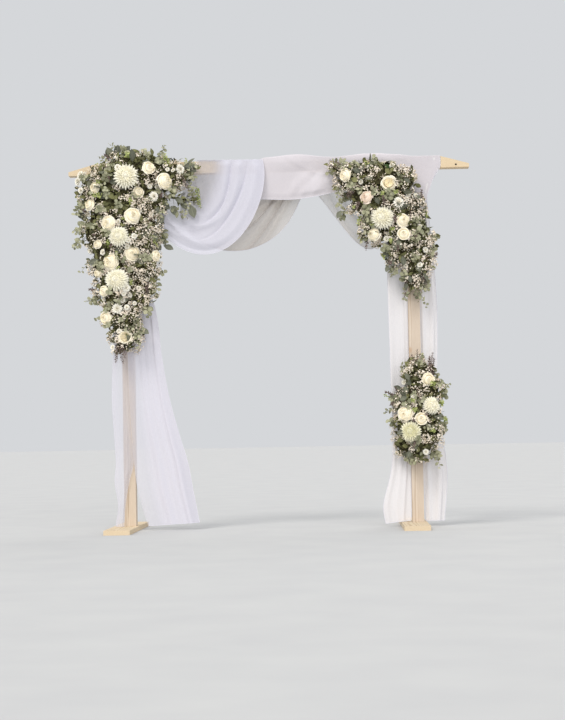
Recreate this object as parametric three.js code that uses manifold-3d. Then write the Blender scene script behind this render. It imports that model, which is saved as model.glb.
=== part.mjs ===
// Wedding arch: a pine frame on two plank feet, dressed with sheer cloth and three flower arrangements.
// Millimetres, +Z up. +X runs along the beam, -Y faces the guests, and the floor is z = 0.
import * as THREE from 'three';
import Module from 'manifold-3d';
import { mergeVertices } from 'three/addons/utils/BufferGeometryUtils.js';

const wasm = await Module();
wasm.setup();

// Timber frame
const TIMBER = 70;
const BEAM_LENGTH = 2400;
const BEAM_UNDERSIDE = 2130;
const TIP_HEIGHT = 23;
const TIP_BEVEL = 170;
const POST_SPACING = 1710;
const PLANK_LENGTH = 960;
const PLANK_WIDTH = 150;
const PLANK_THICKNESS = 27;
const PLANK_OFFSET = 24;

// Steel angle brackets
const BRACKET_LEG = 60;
const BRACKET_WIDTH = 40;
const BRACKET_STEEL = 2.5;

// Flower foam blocks and the straps that hold them
const FOAM_LENGTH = 230;
const FOAM_WIDTH = 110;
const FOAM_DEPTH = 80;
const STRAP_WIDTH = 5;
const STRAP_THICKNESS = 1.5;

// Cloth, and the clearance between pieces that touch
const CLOTH = 6;
const WRAP_PUFF = 24;
const GAP = 0.3;

const HALF = TIMBER / 2;
const POST_X = POST_SPACING / 2;
const BEAM_TOP = BEAM_UNDERSIDE + TIMBER;
const BEAM_MIDDLE = BEAM_UNDERSIDE + HALF;
const POST_LENGTH = BEAM_UNDERSIDE - PLANK_THICKNESS - 2 * GAP;

const pine = new THREE.MeshStandardMaterial({ color: 0xdfc096, roughness: 0.7 });
const zinc = new THREE.MeshStandardMaterial({ color: 0xb9bcbf, roughness: 0.35, metalness: 1 });
const foam = new THREE.MeshStandardMaterial({ color: 0x47633a, roughness: 0.95 });
const strap = new THREE.MeshStandardMaterial({ color: 0x23301f, roughness: 0.5 });
const leaf = new THREE.MeshStandardMaterial({ color: 0x6f7f62, roughness: 0.75 });
const petal = new THREE.MeshStandardMaterial({ color: 0xf1ead8, roughness: 0.6 });
const chiffon = new THREE.MeshStandardMaterial({ color: 0xe9e8ef, roughness: 0.8 });

const arch = new THREE.Group();

function addPiece(name, geometry, material) {
  const piece = new THREE.Mesh(geometry, material);
  piece.name = name;
  arch.add(piece);
  return piece;
}

// Booleans on closed meshes
function toSolid(geometry, placed = new THREE.Object3D()) {
  placed.updateMatrixWorld(true);
  const bare = geometry.clone().applyMatrix4(placed.matrixWorld);
  bare.deleteAttribute('normal');
  bare.deleteAttribute('uv');
  const merged = mergeVertices(bare, 1e-3);
  const mesh = new wasm.Mesh({
    numProp: 3,
    vertProperties: Float32Array.from(merged.attributes.position.array),
    triVerts: Uint32Array.from(merged.index.array),
  });
  return new wasm.Manifold(mesh);
}

function toGeometry(solid) {
  const { vertProperties, triVerts } = solid.getMesh();
  const geometry = new THREE.BufferGeometry();
  geometry.setAttribute('position', new THREE.BufferAttribute(vertProperties, 3));
  geometry.setIndex(new THREE.BufferAttribute(triVerts, 1));
  geometry.computeVertexNormals();
  return geometry;
}

function cutAway(solid, cutters) {
  const rest = cutters.reduce((left, cutter) => left.subtract(cutter), solid);
  return rest.decompose().sort((a, b) => b.volume() - a.volume())[0];
}

// The room that each piece needs: its own shape, grown by the gap
const room = {};

// Beam: straight underside, with a long bevel down to a blunt tip at each end
function beamGeometry(grow = 0) {
  const end = BEAM_LENGTH / 2 + grow;
  const side = new THREE.Shape([
    new THREE.Vector2(-end, -grow),
    new THREE.Vector2(end, -grow),
    new THREE.Vector2(end, TIP_HEIGHT + grow),
    new THREE.Vector2(end - TIP_BEVEL, TIMBER + grow),
    new THREE.Vector2(-end + TIP_BEVEL, TIMBER + grow),
    new THREE.Vector2(-end, TIP_HEIGHT + grow),
  ]);
  const bar = new THREE.ExtrudeGeometry(side, { depth: TIMBER + 2 * grow, bevelEnabled: false });
  return bar.rotateX(Math.PI / 2).translate(0, HALF + grow, 0);
}

const beam = addPiece('beam', beamGeometry(), pine);
beam.position.z = BEAM_UNDERSIDE;
room.beam = toSolid(beamGeometry(GAP), beam);

// Posts stand on the middle of the planks, which run front to back
function postGeometry(grow = 0) {
  return new THREE.BoxGeometry(TIMBER + 2 * grow, TIMBER + 2 * grow, POST_LENGTH);
}

function plankGeometry(grow = 0) {
  return new THREE.BoxGeometry(PLANK_WIDTH + 2 * grow, PLANK_LENGTH + 2 * grow, PLANK_THICKNESS + 2 * grow);
}

for (const [side, sign] of [['left', -1], ['right', 1]]) {
  const post = addPiece(`${side}_post`, postGeometry(), pine);
  post.position.set(sign * POST_X, 0, PLANK_THICKNESS + GAP + POST_LENGTH / 2);
  room[`${side}_post`] = toSolid(postGeometry(GAP), post);

  const foot = addPiece(`${side}_foot`, plankGeometry(), pine);
  foot.position.set(sign * POST_X - PLANK_OFFSET, 0, PLANK_THICKNESS / 2);
  room[`${side}_foot`] = toSolid(plankGeometry(GAP), foot);
}

// Angle bracket: its corner is the origin, one leg runs along +X and the other along +Y
function bracketGeometry(grow = 0) {
  const [back, face, end] = [-grow, BRACKET_STEEL + grow, BRACKET_LEG + grow];
  const angle = new THREE.Shape([
    new THREE.Vector2(back, back),
    new THREE.Vector2(end, back),
    new THREE.Vector2(end, face),
    new THREE.Vector2(face, face),
    new THREE.Vector2(face, end),
    new THREE.Vector2(back, end),
  ]);
  const width = BRACKET_WIDTH + 2 * grow;
  const bent = new THREE.ExtrudeGeometry(angle, { depth: width, bevelEnabled: false });
  return bent.translate(0, 0, -width / 2);
}

for (const [side, sign] of [['left', -1], ['right', 1]]) {
  const head = addPiece(`${side}_head_bracket`, bracketGeometry(), zinc);
  head.position.set(sign * (POST_X - HALF - GAP), 0, BEAM_UNDERSIDE - GAP);
  head.rotation.set(-Math.PI / 2, 0, sign < 0 ? 0 : Math.PI, 'ZYX');
  room[`${side}_head_bracket`] = toSolid(bracketGeometry(GAP), head);

  const heel = addPiece(`${side}_foot_bracket`, bracketGeometry(), zinc);
  heel.position.set(sign * POST_X, HALF + GAP, PLANK_THICKNESS + GAP);
  heel.rotation.set(Math.PI / 2, 0, Math.PI / 2, 'ZYX');
}

// Foam blocks lie against the front of the timber, with any cloth pinned behind them. A block on the
// beam hangs lower than its middle by its sag. A strap loops round each block and the timber.
const CLOTH_BEHIND = CLOTH + GAP;
const carriers = [
  { name: 'left_beam', at: [-865, BEAM_MIDDLE], along: 'x', behind: CLOTH_BEHIND, sag: 75, strapShift: -60 },
  { name: 'left_post', at: [-POST_X, 1735], along: 'z', behind: CLOTH_BEHIND, sag: 0, strapShift: 0 },
  { name: 'right_beam', at: [615, BEAM_MIDDLE], along: 'x', behind: CLOTH_BEHIND, sag: 75, strapShift: 0 },
  { name: 'right_post', at: [POST_X, 1735], along: 'z', behind: 0, sag: 0, strapShift: 0 },
  { name: 'right_low', at: [POST_X, 715], along: 'z', behind: 0, sag: 0, strapShift: 0 },
];

function foamGeometry({ behind, sag }, grow = 0) {
  const block = new THREE.BoxGeometry(FOAM_WIDTH + 2 * grow, FOAM_DEPTH + 2 * grow, FOAM_LENGTH + 2 * grow);
  return block.translate(sag, -HALF - GAP - behind - FOAM_DEPTH / 2, 0);
}

function strapOutline({ behind, sag }, clearance) {
  const timber = HALF + clearance;
  const upper = sag - FOAM_WIDTH / 2 - clearance;
  const lower = sag + FOAM_WIDTH / 2 + clearance;
  const back = -HALF - GAP - behind;
  const front = back - FOAM_DEPTH - clearance;
  return [[-timber, timber], [Math.min(-timber, upper), back], [upper, front],
    [lower, front], [lower, back], [timber, timber]].map((p) => new THREE.Vector2(...p));
}

function strapGeometry(carrier, grow = 0) {
  const inside = 2 * GAP;
  const loop = new THREE.Shape(strapOutline(carrier, inside + STRAP_THICKNESS + grow));
  loop.holes.push(new THREE.Path(strapOutline(carrier, inside - grow)));
  const width = STRAP_WIDTH + 2 * grow;
  const band = new THREE.ExtrudeGeometry(loop, { depth: width, bevelEnabled: false });
  return band.translate(0, 0, -width / 2);
}

for (const carrier of carriers) {
  const { name, at, along, strapShift } = carrier;
  const turn = along === 'x' ? Math.PI / 2 : 0;
  const block = addPiece(`${name}_foam`, foamGeometry(carrier), foam);
  block.position.set(at[0], 0, at[1]);
  block.rotation.y = turn;
  room[`${name}_foam`] = toSolid(foamGeometry(carrier, GAP), block);

  const band = addPiece(`${name}_strap`, strapGeometry(carrier), strap);
  band.position.copy(block.position);
  band.position[along] += strapShift;
  band.rotation.y = turn;
  room[`${name}_strap`] = toSolid(strapGeometry(carrier, GAP), band);
}

// A sheet of cloth as one closed solid. surface(u, v) gives its middle, and puff its extra thickness
// on the outer face.
function clothGeometry({ surface, grid, puff = () => 0 }, grow = 0) {
  const [columns, rows] = grid;
  const layer = (columns + 1) * (rows + 1);
  const positions = [];
  for (const face of [-1, 1]) {
    for (let j = 0; j <= rows; j += 1) {
      for (let i = 0; i <= columns; i += 1) {
        const [u, v] = [i / columns, j / rows];
        const step = 1e-3;
        const alongU = surface(u + step, v).sub(surface(u - step, v));
        const alongV = surface(u, v + step).sub(surface(u, v - step));
        const outward = alongU.clone().cross(alongV).normalize();
        const extra = face > 0 ? puff(u, v) : 0;
        const point = surface(u, v).addScaledVector(outward, face * (CLOTH / 2 + grow) + extra);
        if (i === 0 || i === columns) point.addScaledVector(alongU.normalize(), Math.sign(i - 0.5) * grow);
        if (j === 0 || j === rows) point.addScaledVector(alongV.normalize(), Math.sign(j - 0.5) * grow);
        positions.push(point.x, point.y, point.z);
      }
    }
  }
  const index = [];
  const at = (side, i, j) => side * layer + j * (columns + 1) + i;
  const quad = (a, b, c, d) => index.push(a, b, c, a, c, d);
  for (let j = 0; j < rows; j += 1) {
    for (let i = 0; i < columns; i += 1) {
      quad(at(0, i, j), at(0, i, j + 1), at(0, i + 1, j + 1), at(0, i + 1, j));
      quad(at(1, i, j), at(1, i + 1, j), at(1, i + 1, j + 1), at(1, i, j + 1));
    }
  }
  for (let i = 0; i < columns; i += 1) {
    quad(at(0, i, 0), at(0, i + 1, 0), at(1, i + 1, 0), at(1, i, 0));
    quad(at(0, i + 1, rows), at(0, i, rows), at(1, i, rows), at(1, i + 1, rows));
  }
  for (let j = 0; j < rows; j += 1) {
    quad(at(0, 0, j + 1), at(0, 0, j), at(1, 0, j), at(1, 0, j + 1));
    quad(at(0, columns, j), at(0, columns, j + 1), at(1, columns, j + 1), at(1, columns, j));
  }
  const geometry = new THREE.BufferGeometry();
  geometry.setAttribute('position', new THREE.Float32BufferAttribute(positions, 3));
  geometry.setIndex(index);
  geometry.computeVertexNormals();
  return geometry;
}

// Straight across from one edge curve to the other, with folds that grow as v goes from start to full
function folded(edgeA, edgeB, { folds, depth, start, full }) {
  return (u, v) => {
    const t = THREE.MathUtils.clamp(v, 0, 1);
    const point = edgeA.getPoint(t).lerp(edgeB.getPoint(t), u);
    point.y += depth * THREE.MathUtils.smoothstep(t, start, full) * Math.sin(2 * Math.PI * folds * u);
    return point;
  };
}

const vector = (x, y, z) => new THREE.Vector3(x, y, z);
const hanging = (...points) => new THREE.CatmullRomCurve3(points.map((p) => vector(...p)), false, 'centripetal');
const swung = (...points) => new THREE.CubicBezierCurve3(...points.map((p) => vector(...p)));

const FRONT = -HALF - GAP - CLOTH / 2;
const BACK = HALF + GAP + CLOTH / 2;
const HUNG = BEAM_TOP - 10;
const HEM = PLANK_THICKNESS + 2;

// The wrap goes up the front of the beam and across its top, with a soft puff along the corner
const WRAP_FROM = 866;
const WRAP_TO = -26;
const WRAP_HEM = 1958;
const WRAP_RISE = 0.07;
const WRAP_CORNER = 0.74;

function wrapSurface(u, v) {
  const x = THREE.MathUtils.lerp(WRAP_FROM, WRAP_TO, v);
  const lift = GAP + CLOTH / 2;
  const drop = BEAM_TOP + lift - WRAP_HEM - WRAP_RISE * x + 14 * Math.sin(0.009 * x);
  const front = -HALF - lift;
  if (u < WRAP_CORNER) return vector(x, front, BEAM_TOP + lift - drop * (1 - u / WRAP_CORNER));
  const over = (u - WRAP_CORNER) / (1 - WRAP_CORNER);
  return vector(x, front + over * (TIMBER + lift), BEAM_TOP + lift);
}

function wrapPuff(u, v) {
  const nearTop = Math.sin(Math.PI * THREE.MathUtils.clamp((u - 0.5) / 0.45, 0, 1));
  return WRAP_PUFF * nearTop * (0.55 + 0.45 * Math.sin(17 * v + 1.2));
}

const cloths = {
  left_curtain_inner: {
    surface: folded(
      hanging([-887, FRONT, HUNG], [-886, FRONT, 1650], [-862, FRONT, 1340], [-858, FRONT - 2, 1017],
        [-851, FRONT - 6, 780], [-838, FRONT - 9, 560], [-826, FRONT - 12, 400], [-805, -58, 242],
        [-744, -64, HEM]),
      hanging([-823, FRONT, HUNG], [-824, FRONT, 1650], [-693, FRONT, 1340], [-651, FRONT, 1017],
        [-611, -32, 780], [-554, -26, 560], [-508, -20, 400], [-480, -14, 242], [-444, -8, 42]),
      { folds: 3, depth: 16, start: 0.4, full: 0.75 },
    ),
    grid: [12, 16],
  },
  left_curtain_outer: {
    surface: folded(
      hanging([-922, FRONT, 1330], [-945, FRONT, 1017], [-953, FRONT - 2, 780], [-942, FRONT - 4, 560],
        [-934, FRONT - 6, 400], [-942, FRONT - 12, 290], [-922, -60, 150], [-938, -66, HEM]),
      hanging([-865, FRONT, 1330], [-861, FRONT - 2, 1017], [-854, FRONT - 6, 780], [-844, FRONT - 9, 560],
        [-835, FRONT - 12, 400], [-858, FRONT - 16, 290], [-882, -62, 150], [-890, -66, HEM]),
      { folds: 1, depth: 5, start: 0.4, full: 1 },
    ),
    grid: [5, 14],
  },
  main_swag: {
    surface: folded(
      swung([-420, FRONT - 16, 2206], [-450, -66, 2110], [-540, -70, 2050], [-640, -66, 2030]),
      swung([-32, FRONT - 8, 2202], [40, -120, 1952], [-242, -130, 1376], [-640, -80, 1762]),
      { folds: 4, depth: 12, start: 0, full: 0.5 },
    ),
    grid: [12, 10],
  },
  rear_swag: {
    surface: folded(
      swung([320, BACK, 2186], [100, BACK, 2180], [-240, BACK, 2180], [-500, BACK, 2186]),
      swung([188, BACK + 8, 1974], [24, 90, 1522], [-508, 100, 1640], [-540, BACK + 8, 1900]),
      { folds: 3, depth: 10, start: 0, full: 0.5 },
    ),
    grid: [9, 10],
  },
  side_swag: {
    surface: folded(
      swung([340, BACK, 2186], [460, BACK, 2180], [580, BACK, 2170], [690, BACK, 2150]),
      swung([296, BACK + 8, 1992], [436, 60, 1824], [602, 70, 1497], [690, BACK + 8, 1760]),
      { folds: 2, depth: 8, start: 0, full: 0.5 },
    ),
    grid: [8, 8],
  },
  beam_wrap: { surface: wrapSurface, grid: [9, 14], puff: wrapPuff },
  right_drape_inner: {
    surface: folded(
      hanging([704, BACK, HUNG], [702, BACK, 2060], [700, -10, 1570], [708, -22, 898], [706, -24, 365],
        [650, -40, 118], [662, -44, 20]),
      hanging([812, BACK, HUNG], [812, BACK, 2060], [817, -10, 1570], [818, -22, 898], [818, -24, 365],
        [817, -36, 150], [812, -44, 36]),
      { folds: 2, depth: 10, start: 0.2, full: 0.6 },
    ),
    grid: [8, 12],
  },
  right_drape_outer: {
    surface: folded(
      hanging([868, FRONT, HUNG], [869, FRONT, 2135], [878, FRONT, 2050], [893, FRONT, 1960],
        [893, -14, 1850], [892, -12, 1340], [892, -12, 700], [893, -12, 300], [900, -20, 32]),
      hanging([1030, FRONT, HUNG], [1027, FRONT, 2135], [980, FRONT, 2050], [947, FRONT, 1960],
        [956, -14, 1850], [993, -10, 1340], [988, -6, 700], [1034, -2, 330], [1012, -10, 32]),
      { folds: 2, depth: 9, start: 0.4, full: 0.7 },
    ),
    grid: [8, 16],
  },
};

const hardware = Object.values(room);
for (const [name, cloth] of Object.entries(cloths)) {
  const sheet = cutAway(toSolid(clothGeometry(cloth)), hardware);
  addPiece(name, toGeometry(sheet), chiffon);
  room[name] = toSolid(clothGeometry(cloth, GAP));
}

// Blooms: a round head that narrows to its calyx, facing out of its arrangement
const bloomForms = {
  rose: [[0.1, -0.8], [0.62, -0.36], [1, 0.1], [0.92, 0.4], [0.5, 0.62]],
  mum: [[0.1, -0.62], [0.72, -0.24], [1, 0.04], [0.82, 0.34], [0.36, 0.5]],
};
const BLOOM_SEGMENTS = 10;

function bloomGeometry(form, radius, grow = 0) {
  const outline = bloomForms[form].map(([r, z]) => new THREE.Vector2(r * radius + grow, z * radius));
  const last = outline[outline.length - 1];
  const profile = [
    new THREE.Vector2(0, outline[0].y - grow),
    new THREE.Vector2(outline[0].x, outline[0].y - grow),
    ...outline.slice(1),
    new THREE.Vector2(0, last.y + grow),
  ];
  profile[profile.length - 2].y += grow;
  return new THREE.LatheGeometry(profile, BLOOM_SEGMENTS).rotateX(Math.PI / 2);
}

const blooms = [
  ['left_top_mum', 'mum', -829, -236, 2093, 64],
  ['left_corner_rose', 'rose', -599, -196, 2062, 50],
  ['left_side_rose', 'rose', -941, -218, 1821, 42],
  ['left_centre_rose', 'rose', -790, -232, 1859, 45],
  ['left_middle_mum', 'mum', -879, -236, 1735, 48],
  ['left_inner_rose', 'rose', -801, -192, 1639, 44],
  ['left_lower_rose', 'rose', -934, -206, 1582, 42],
  ['left_low_mum', 'mum', -896, -216, 1484, 60],
  ['left_tail_rose', 'rose', -854, -172, 1148, 41],
  ['right_top_rose', 'rose', 714, -206, 2021, 41],
  ['right_blush_rose', 'rose', 580, -196, 1940, 35],
  ['right_large_mum', 'mum', 673, -216, 1817, 59],
  ['right_side_rose', 'rose', 796, -208, 1797, 38],
  ['right_inner_rose', 'rose', 618, -176, 1725, 38],
  ['low_left_rose', 'rose', 782, -184, 665, 41],
  ['low_right_mum', 'mum', 942, -186, 710, 44],
  ['low_green_mum', 'mum', 813, -196, 558, 53],
];

function spineOf(name, z) {
  if (name.startsWith('left')) return -860 + 0.12 * Math.max(0, z - 1900);
  if (name.startsWith('right')) return 700 + 0.45 * Math.max(0, 1900 - z);
  return 865;
}

for (const [name, form, x, y, z, radius] of blooms) {
  const bloom = addPiece(name, bloomGeometry(form, radius), petal);
  bloom.position.set(x, y, z);
  const outward = vector((x - spineOf(name, z)) / 260, -1, 0.1).normalize();
  bloom.quaternion.setFromUnitVectors(vector(0, 0, 1), outward);
  room[name] = toSolid(bloomGeometry(form, radius, GAP), bloom);
}

// Foliage: overlapping rounded clumps of leaves and small flowers, cut back where anything else sits.
// A clump is its centre and its reach along x, y and z. A spray also has a slope in degrees.
const foliage = {
  left_foliage: [
    [-830, -110, 2120, 150, 130, 150], [-975, -100, 2065, 125, 105, 110], [-1065, -90, 2010, 75, 70, 95],
    [-690, -100, 2125, 120, 105, 115], [-560, -110, 2112, 92, 80, 92], [-880, -115, 1935, 195, 115, 140],
    [-715, -105, 1945, 115, 95, 130], [-985, -105, 1780, 135, 95, 145], [-800, -120, 1770, 170, 115, 150],
    [-935, -105, 1600, 145, 100, 130], [-755, -105, 1590, 105, 90, 150], [-915, -110, 1450, 130, 105, 125],
    [-775, -100, 1420, 100, 80, 110], [-885, -95, 1285, 120, 85, 115], [-855, -90, 1150, 95, 80, 110],
    [-905, -85, 1070, 50, 45, 60],
    [-520, -120, 1965, 105, 22, 26, -8], [-505, -120, 1840, 110, 22, 26, 38], [-480, -120, 2140, 75, 22, 26, 10],
  ],
  right_foliage: [
    [500, -100, 2055, 100, 90, 95], [625, -105, 2066, 120, 100, 112], [760, -105, 2032, 120, 100, 112],
    [600, -100, 1930, 130, 95, 110], [735, -115, 1870, 150, 105, 130], [850, -100, 1860, 85, 85, 110],
    [640, -90, 1770, 100, 85, 100], [800, -110, 1735, 130, 95, 120], [905, -95, 1680, 75, 80, 110],
    [765, -90, 1620, 90, 75, 90], [885, -90, 1560, 100, 75, 110], [840, -85, 1450, 70, 60, 65],
    [410, -110, 2120, 60, 20, 24, -40],
  ],
  low_foliage: [
    [870, -95, 880, 90, 80, 100], [930, -95, 800, 85, 80, 95], [800, -95, 720, 90, 85, 95],
    [900, -105, 680, 120, 90, 115], [820, -105, 585, 110, 90, 105], [930, -95, 560, 90, 80, 100],
    [860, -90, 460, 100, 70, 80], [770, -90, 480, 60, 50, 55], [845, -85, 980, 30, 28, 45],
  ],
};

function clumpSolid([x, y, z, reachX, reachY, reachZ, slope = 0]) {
  const fineness = slope === 0 ? 1 : 0;
  const clump = new THREE.IcosahedronGeometry(1, fineness).scale(reachX, reachY, reachZ);
  clump.rotateY(-THREE.MathUtils.degToRad(slope)).translate(x, y, z);
  return toSolid(clump);
}

const taken = Object.values(room);
for (const [name, clumps] of Object.entries(foliage)) {
  const mass = clumps.map(clumpSolid).reduce((whole, clump) => whole.add(clump));
  addPiece(name, toGeometry(cutAway(mass, taken)), leaf);
}

export default arch;
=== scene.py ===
import math

import bpy
import numpy as np
from mathutils import Matrix, Vector
from mathutils.bvhtree import BVHTree
from mathutils.noise import noise


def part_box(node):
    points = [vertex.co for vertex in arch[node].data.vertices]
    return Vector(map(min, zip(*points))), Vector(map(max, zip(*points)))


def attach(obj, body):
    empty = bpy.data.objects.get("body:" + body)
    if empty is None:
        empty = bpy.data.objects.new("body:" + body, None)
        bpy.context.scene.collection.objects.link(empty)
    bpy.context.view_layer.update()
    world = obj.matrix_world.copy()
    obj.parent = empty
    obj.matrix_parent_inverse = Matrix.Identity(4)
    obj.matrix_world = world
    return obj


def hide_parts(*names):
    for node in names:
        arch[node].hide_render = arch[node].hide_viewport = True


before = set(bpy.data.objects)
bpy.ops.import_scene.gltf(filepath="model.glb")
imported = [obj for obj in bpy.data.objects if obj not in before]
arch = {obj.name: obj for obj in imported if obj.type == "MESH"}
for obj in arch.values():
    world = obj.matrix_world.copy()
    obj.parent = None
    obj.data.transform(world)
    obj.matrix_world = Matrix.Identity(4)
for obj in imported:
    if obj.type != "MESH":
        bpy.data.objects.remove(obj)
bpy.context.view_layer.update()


# Where it stands
# The arch stands on a pale matt floor in even, soft daylight. It is seen from half a metre above the
# floor, ten metres in front and a little to the right.
scene = bpy.context.scene
eye = Vector((0.4094, -10.019, 0.5628))
turned, tipped, canted = math.radians(1.962), math.radians(2.503), math.radians(-1.005)
ahead = Vector((-math.sin(turned) * math.cos(tipped), math.cos(turned) * math.cos(tipped), math.sin(tipped)))
level = Vector((math.cos(turned), math.sin(turned), 0))
upright = level.cross(ahead)
sideways = level * math.cos(canted) + upright * math.sin(canted)
overhead = upright * math.cos(canted) - level * math.sin(canted)
lens = bpy.data.cameras.new("front_view")
lens.lens = 83.96
camera = bpy.data.objects.new("front_view", lens)
camera.matrix_world = Matrix.Translation(eye) @ Matrix((sideways, overhead, -ahead)).transposed().to_4x4()
scene.collection.objects.link(camera)
scene.camera = camera
scene.view_settings.view_transform = "Standard"


def tint(red, green, blue):
    """A paint-card colour, 0 to 255 a channel, as the shaders need it."""
    channels = (((c / 255 + 0.055) / 1.055) ** 2.4 if c > 10 else c / 3295 for c in (red, green, blue))
    return (*channels, 1.0)


sky = bpy.data.worlds.new("soft_sky")
scene.world = sky
sky.use_nodes = True
sky_light = sky.node_tree.nodes["Background"].inputs
sky_light["Color"].default_value = tint(213, 215, 218)
sky_light["Strength"].default_value = 1.0

for name, softness, power, colour, from_spot in (
    ("key_light", 24, 1.5, (255, 250, 243), (-0.5, -0.75, 0.95)),
    ("front_light", 40, 1.1, (252, 250, 250), (0.35, -1.0, 0.35)),
    ("back_light", 40, 0.6, (255, 251, 244), (0.3, 0.8, 0.9)),
):
    lamp = bpy.data.lights.new(name, "SUN")
    lamp.angle, lamp.energy, lamp.color = math.radians(softness), power, tint(*colour)[:3]
    stand = bpy.data.objects.new(name, lamp)
    stand.rotation_euler = Vector(from_spot).to_track_quat("Z", "Y").to_euler()
    scene.collection.objects.link(stand)


def new_finish(name, **sockets):
    """A finish with one surface shader, whose plain values are set on its own sockets."""
    finish = bpy.data.materials.new(name)
    finish.use_nodes = True
    shader = finish.node_tree.nodes["Principled BSDF"]
    for socket, value in sockets.items():
        shader.inputs[socket.replace("_", " ")].default_value = value
    return finish, finish.node_tree, shader


def add_node(tree, kind, inputs=(), **settings):
    """One shader node: inputs are values or other nodes' outputs, by socket name or number."""
    node = tree.nodes.new("ShaderNode" + kind)
    for name, value in settings.items():
        setattr(node, name, value)
    for socket, value in dict(inputs).items():
        if isinstance(value, bpy.types.NodeSocket):
            tree.links.new(value, node.inputs[socket])
        else:
            node.inputs[socket].default_value = value
    return node


def place_on(tree):
    """The spot that is being coloured, in metres from the arch's origin."""
    return add_node(tree, "TexCoord").outputs["Object"]


def cloudy(tree, place, scale, detail):
    """Soft random patches from 0 to 1. More detail makes them rougher."""
    return add_node(tree, "TexNoise", {"Vector": place, "Scale": scale, "Detail": detail}).outputs["Fac"]


def shades(tree, factor, *stops):
    """A run of colours along a factor: each stop is its place and its paint-card colour."""
    ramp = add_node(tree, "ValToRGB", {"Fac": factor})
    steps = ramp.color_ramp.elements
    while len(steps) < len(stops):
        steps.new(0.5)
    for step, (place, colour) in zip(steps, stops):
        step.position, step.color = place, tint(*colour)
    return ramp.outputs["Color"]


def paint(tree, shader, factor, *stops):
    """Gives a finish its run of colours along a factor."""
    tree.links.new(shades(tree, factor, *stops), shader.inputs["Base Color"])


floor_finish, tree, shader = new_finish("pale_floor", Roughness=0.9, Specular_IOR_Level=0.2)
paint(tree, shader, cloudy(tree, place_on(tree), 3.0, 6.0), (0.3, (193, 194, 195)), (0.7, (198, 199, 199)))
bpy.ops.mesh.primitive_circle_add(vertices=96, radius=60, fill_type="NGON")
ground = bpy.context.object
ground.name = "pale_floor"
ground.data.materials.append(floor_finish)


# Pine frame
# Two square posts of sawn pine stand on flat plank feet and carry a beam with bevelled ends.
# The timber is left bare, so it shows growth rings, fibres and a few small knots.
# One growth ring is 5 mm wide. The colours are those of early wood, most of the board and late wood,
# each for a pinkish white board and for a straw yellow one.
RING_WAVE = 1250.0
BOARD_COLOURS = (
    ((219, 205, 188), (230, 213, 182)),
    ((205, 190, 173), (221, 201, 167)),
    ((182, 160, 136), (196, 168, 128)),
)
KNOT_BROWN = (184, 146, 110)


def sums(tree, kind, first, second=0.0, third=0.0):
    """One line of arithmetic between shader values."""
    return add_node(tree, "Math", {0: first, 1: second, 2: third}, operation=kind).outputs[0]


def raised(tree, shader, height, depth):
    """Relief from a height between 0 and 1, depth metres deep."""
    bump = add_node(tree, "Bump", {"Height": height, "Distance": depth, "Strength": 1.0})
    tree.links.new(bump.outputs["Normal"], shader.inputs["Normal"])


def stretched(tree, place, scale, shift=(0.0, 0.0, 0.0)):
    """A place scaled along its axes and then shifted."""
    return add_node(tree, "Mapping", {"Vector": place, "Scale": scale, "Location": shift}).outputs["Vector"]


def ranged(tree, value, low, high, from_low=0.0, from_high=1.0):
    """A value carried from one range into another, and held inside it."""
    ends = {"Value": value, "From Min": from_low, "From Max": from_high, "To Min": low, "To Max": high}
    return add_node(tree, "MapRange", ends).outputs["Result"]


def blended(tree, share, ground_colour, top_colour):
    """A paint-card colour laid over another by a share."""
    colours = {"Factor": share, "A": ground_colour, "B": tint(*top_colour)}
    return add_node(tree, "Mix", colours, data_type="RGBA").outputs["Result"]


def pine_finish(name, along, heart, shade):
    """Sawn pine whose grain runs along one axis. heart is where the tree's middle lies across it, and
    shade is how yellow the board is, from 0 for pinkish white to 1 for straw."""
    finish, tree, shader = new_finish(name, Specular_IOR_Level=0.25)
    place = place_on(tree)

    def drawn_in(share, shift=(0.0, 0.0, 0.0)):
        """Places on the board with its length drawn in to a share."""
        scale = [1.0, 1.0, 1.0]
        scale[along] = share
        return stretched(tree, place, scale, shift)

    grain = drawn_in(0.06)
    reach = add_node(tree, "VectorMath", {0: drawn_in(0.0, heart)}, operation="LENGTH").outputs["Value"]
    uneven = sums(tree, "MULTIPLY_ADD", cloudy(tree, grain, 55.0, 1.0), 0.0035, reach)
    drift = sums(tree, "MULTIPLY_ADD", cloudy(tree, grain, 9.0, 2.0), 0.034, uneven)
    rings = sums(tree, "SINE", sums(tree, "MULTIPLY", drift, RING_WAVE))
    rings = sums(tree, "MULTIPLY_ADD", rings, 0.5, 0.5)
    fibres = cloudy(tree, grain, 420.0, 3.0)
    wood = sums(tree, "MULTIPLY", fibres, 0.35)
    wood = sums(tree, "MULTIPLY_ADD", sums(tree, "POWER", rings, 2.2), 0.45, wood)
    wood = sums(tree, "MULTIPLY_ADD", cloudy(tree, grain, 4.0, 2.0), 0.3, wood)
    early, main, late = (
        tuple(round(pink + shade * (straw - pink)) for pink, straw in zip(*pair)) for pair in BOARD_COLOURS
    )
    colour = shades(tree, wood, (0.15, early), (0.5, main), (0.95, late))
    cells = add_node(tree, "TexVoronoi", {"Vector": drawn_in(0.55), "Scale": 8.5}).outputs["Distance"]
    knots = ranged(tree, cells, 0.5, 0.0, 0.05, 0.11)
    tree.links.new(blended(tree, knots, colour, KNOT_BROWN), shader.inputs["Base Color"])
    tree.links.new(ranged(tree, fibres, 0.58, 0.78), shader.inputs["Roughness"])
    raised(tree, shader, sums(tree, "MULTIPLY_ADD", fibres, 0.7, sums(tree, "MULTIPLY", rings, 0.3)), 0.0006)
    return finish


def soften(piece, width, finish):
    """Takes the sharpness off a frame part's edges and gives it its finish."""
    ease = piece.modifiers.new("eased_edges", "BEVEL")
    ease.width, ease.segments, ease.limit_method = width, 2, "ANGLE"
    piece.data.materials.clear()
    piece.data.materials.append(finish)


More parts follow.
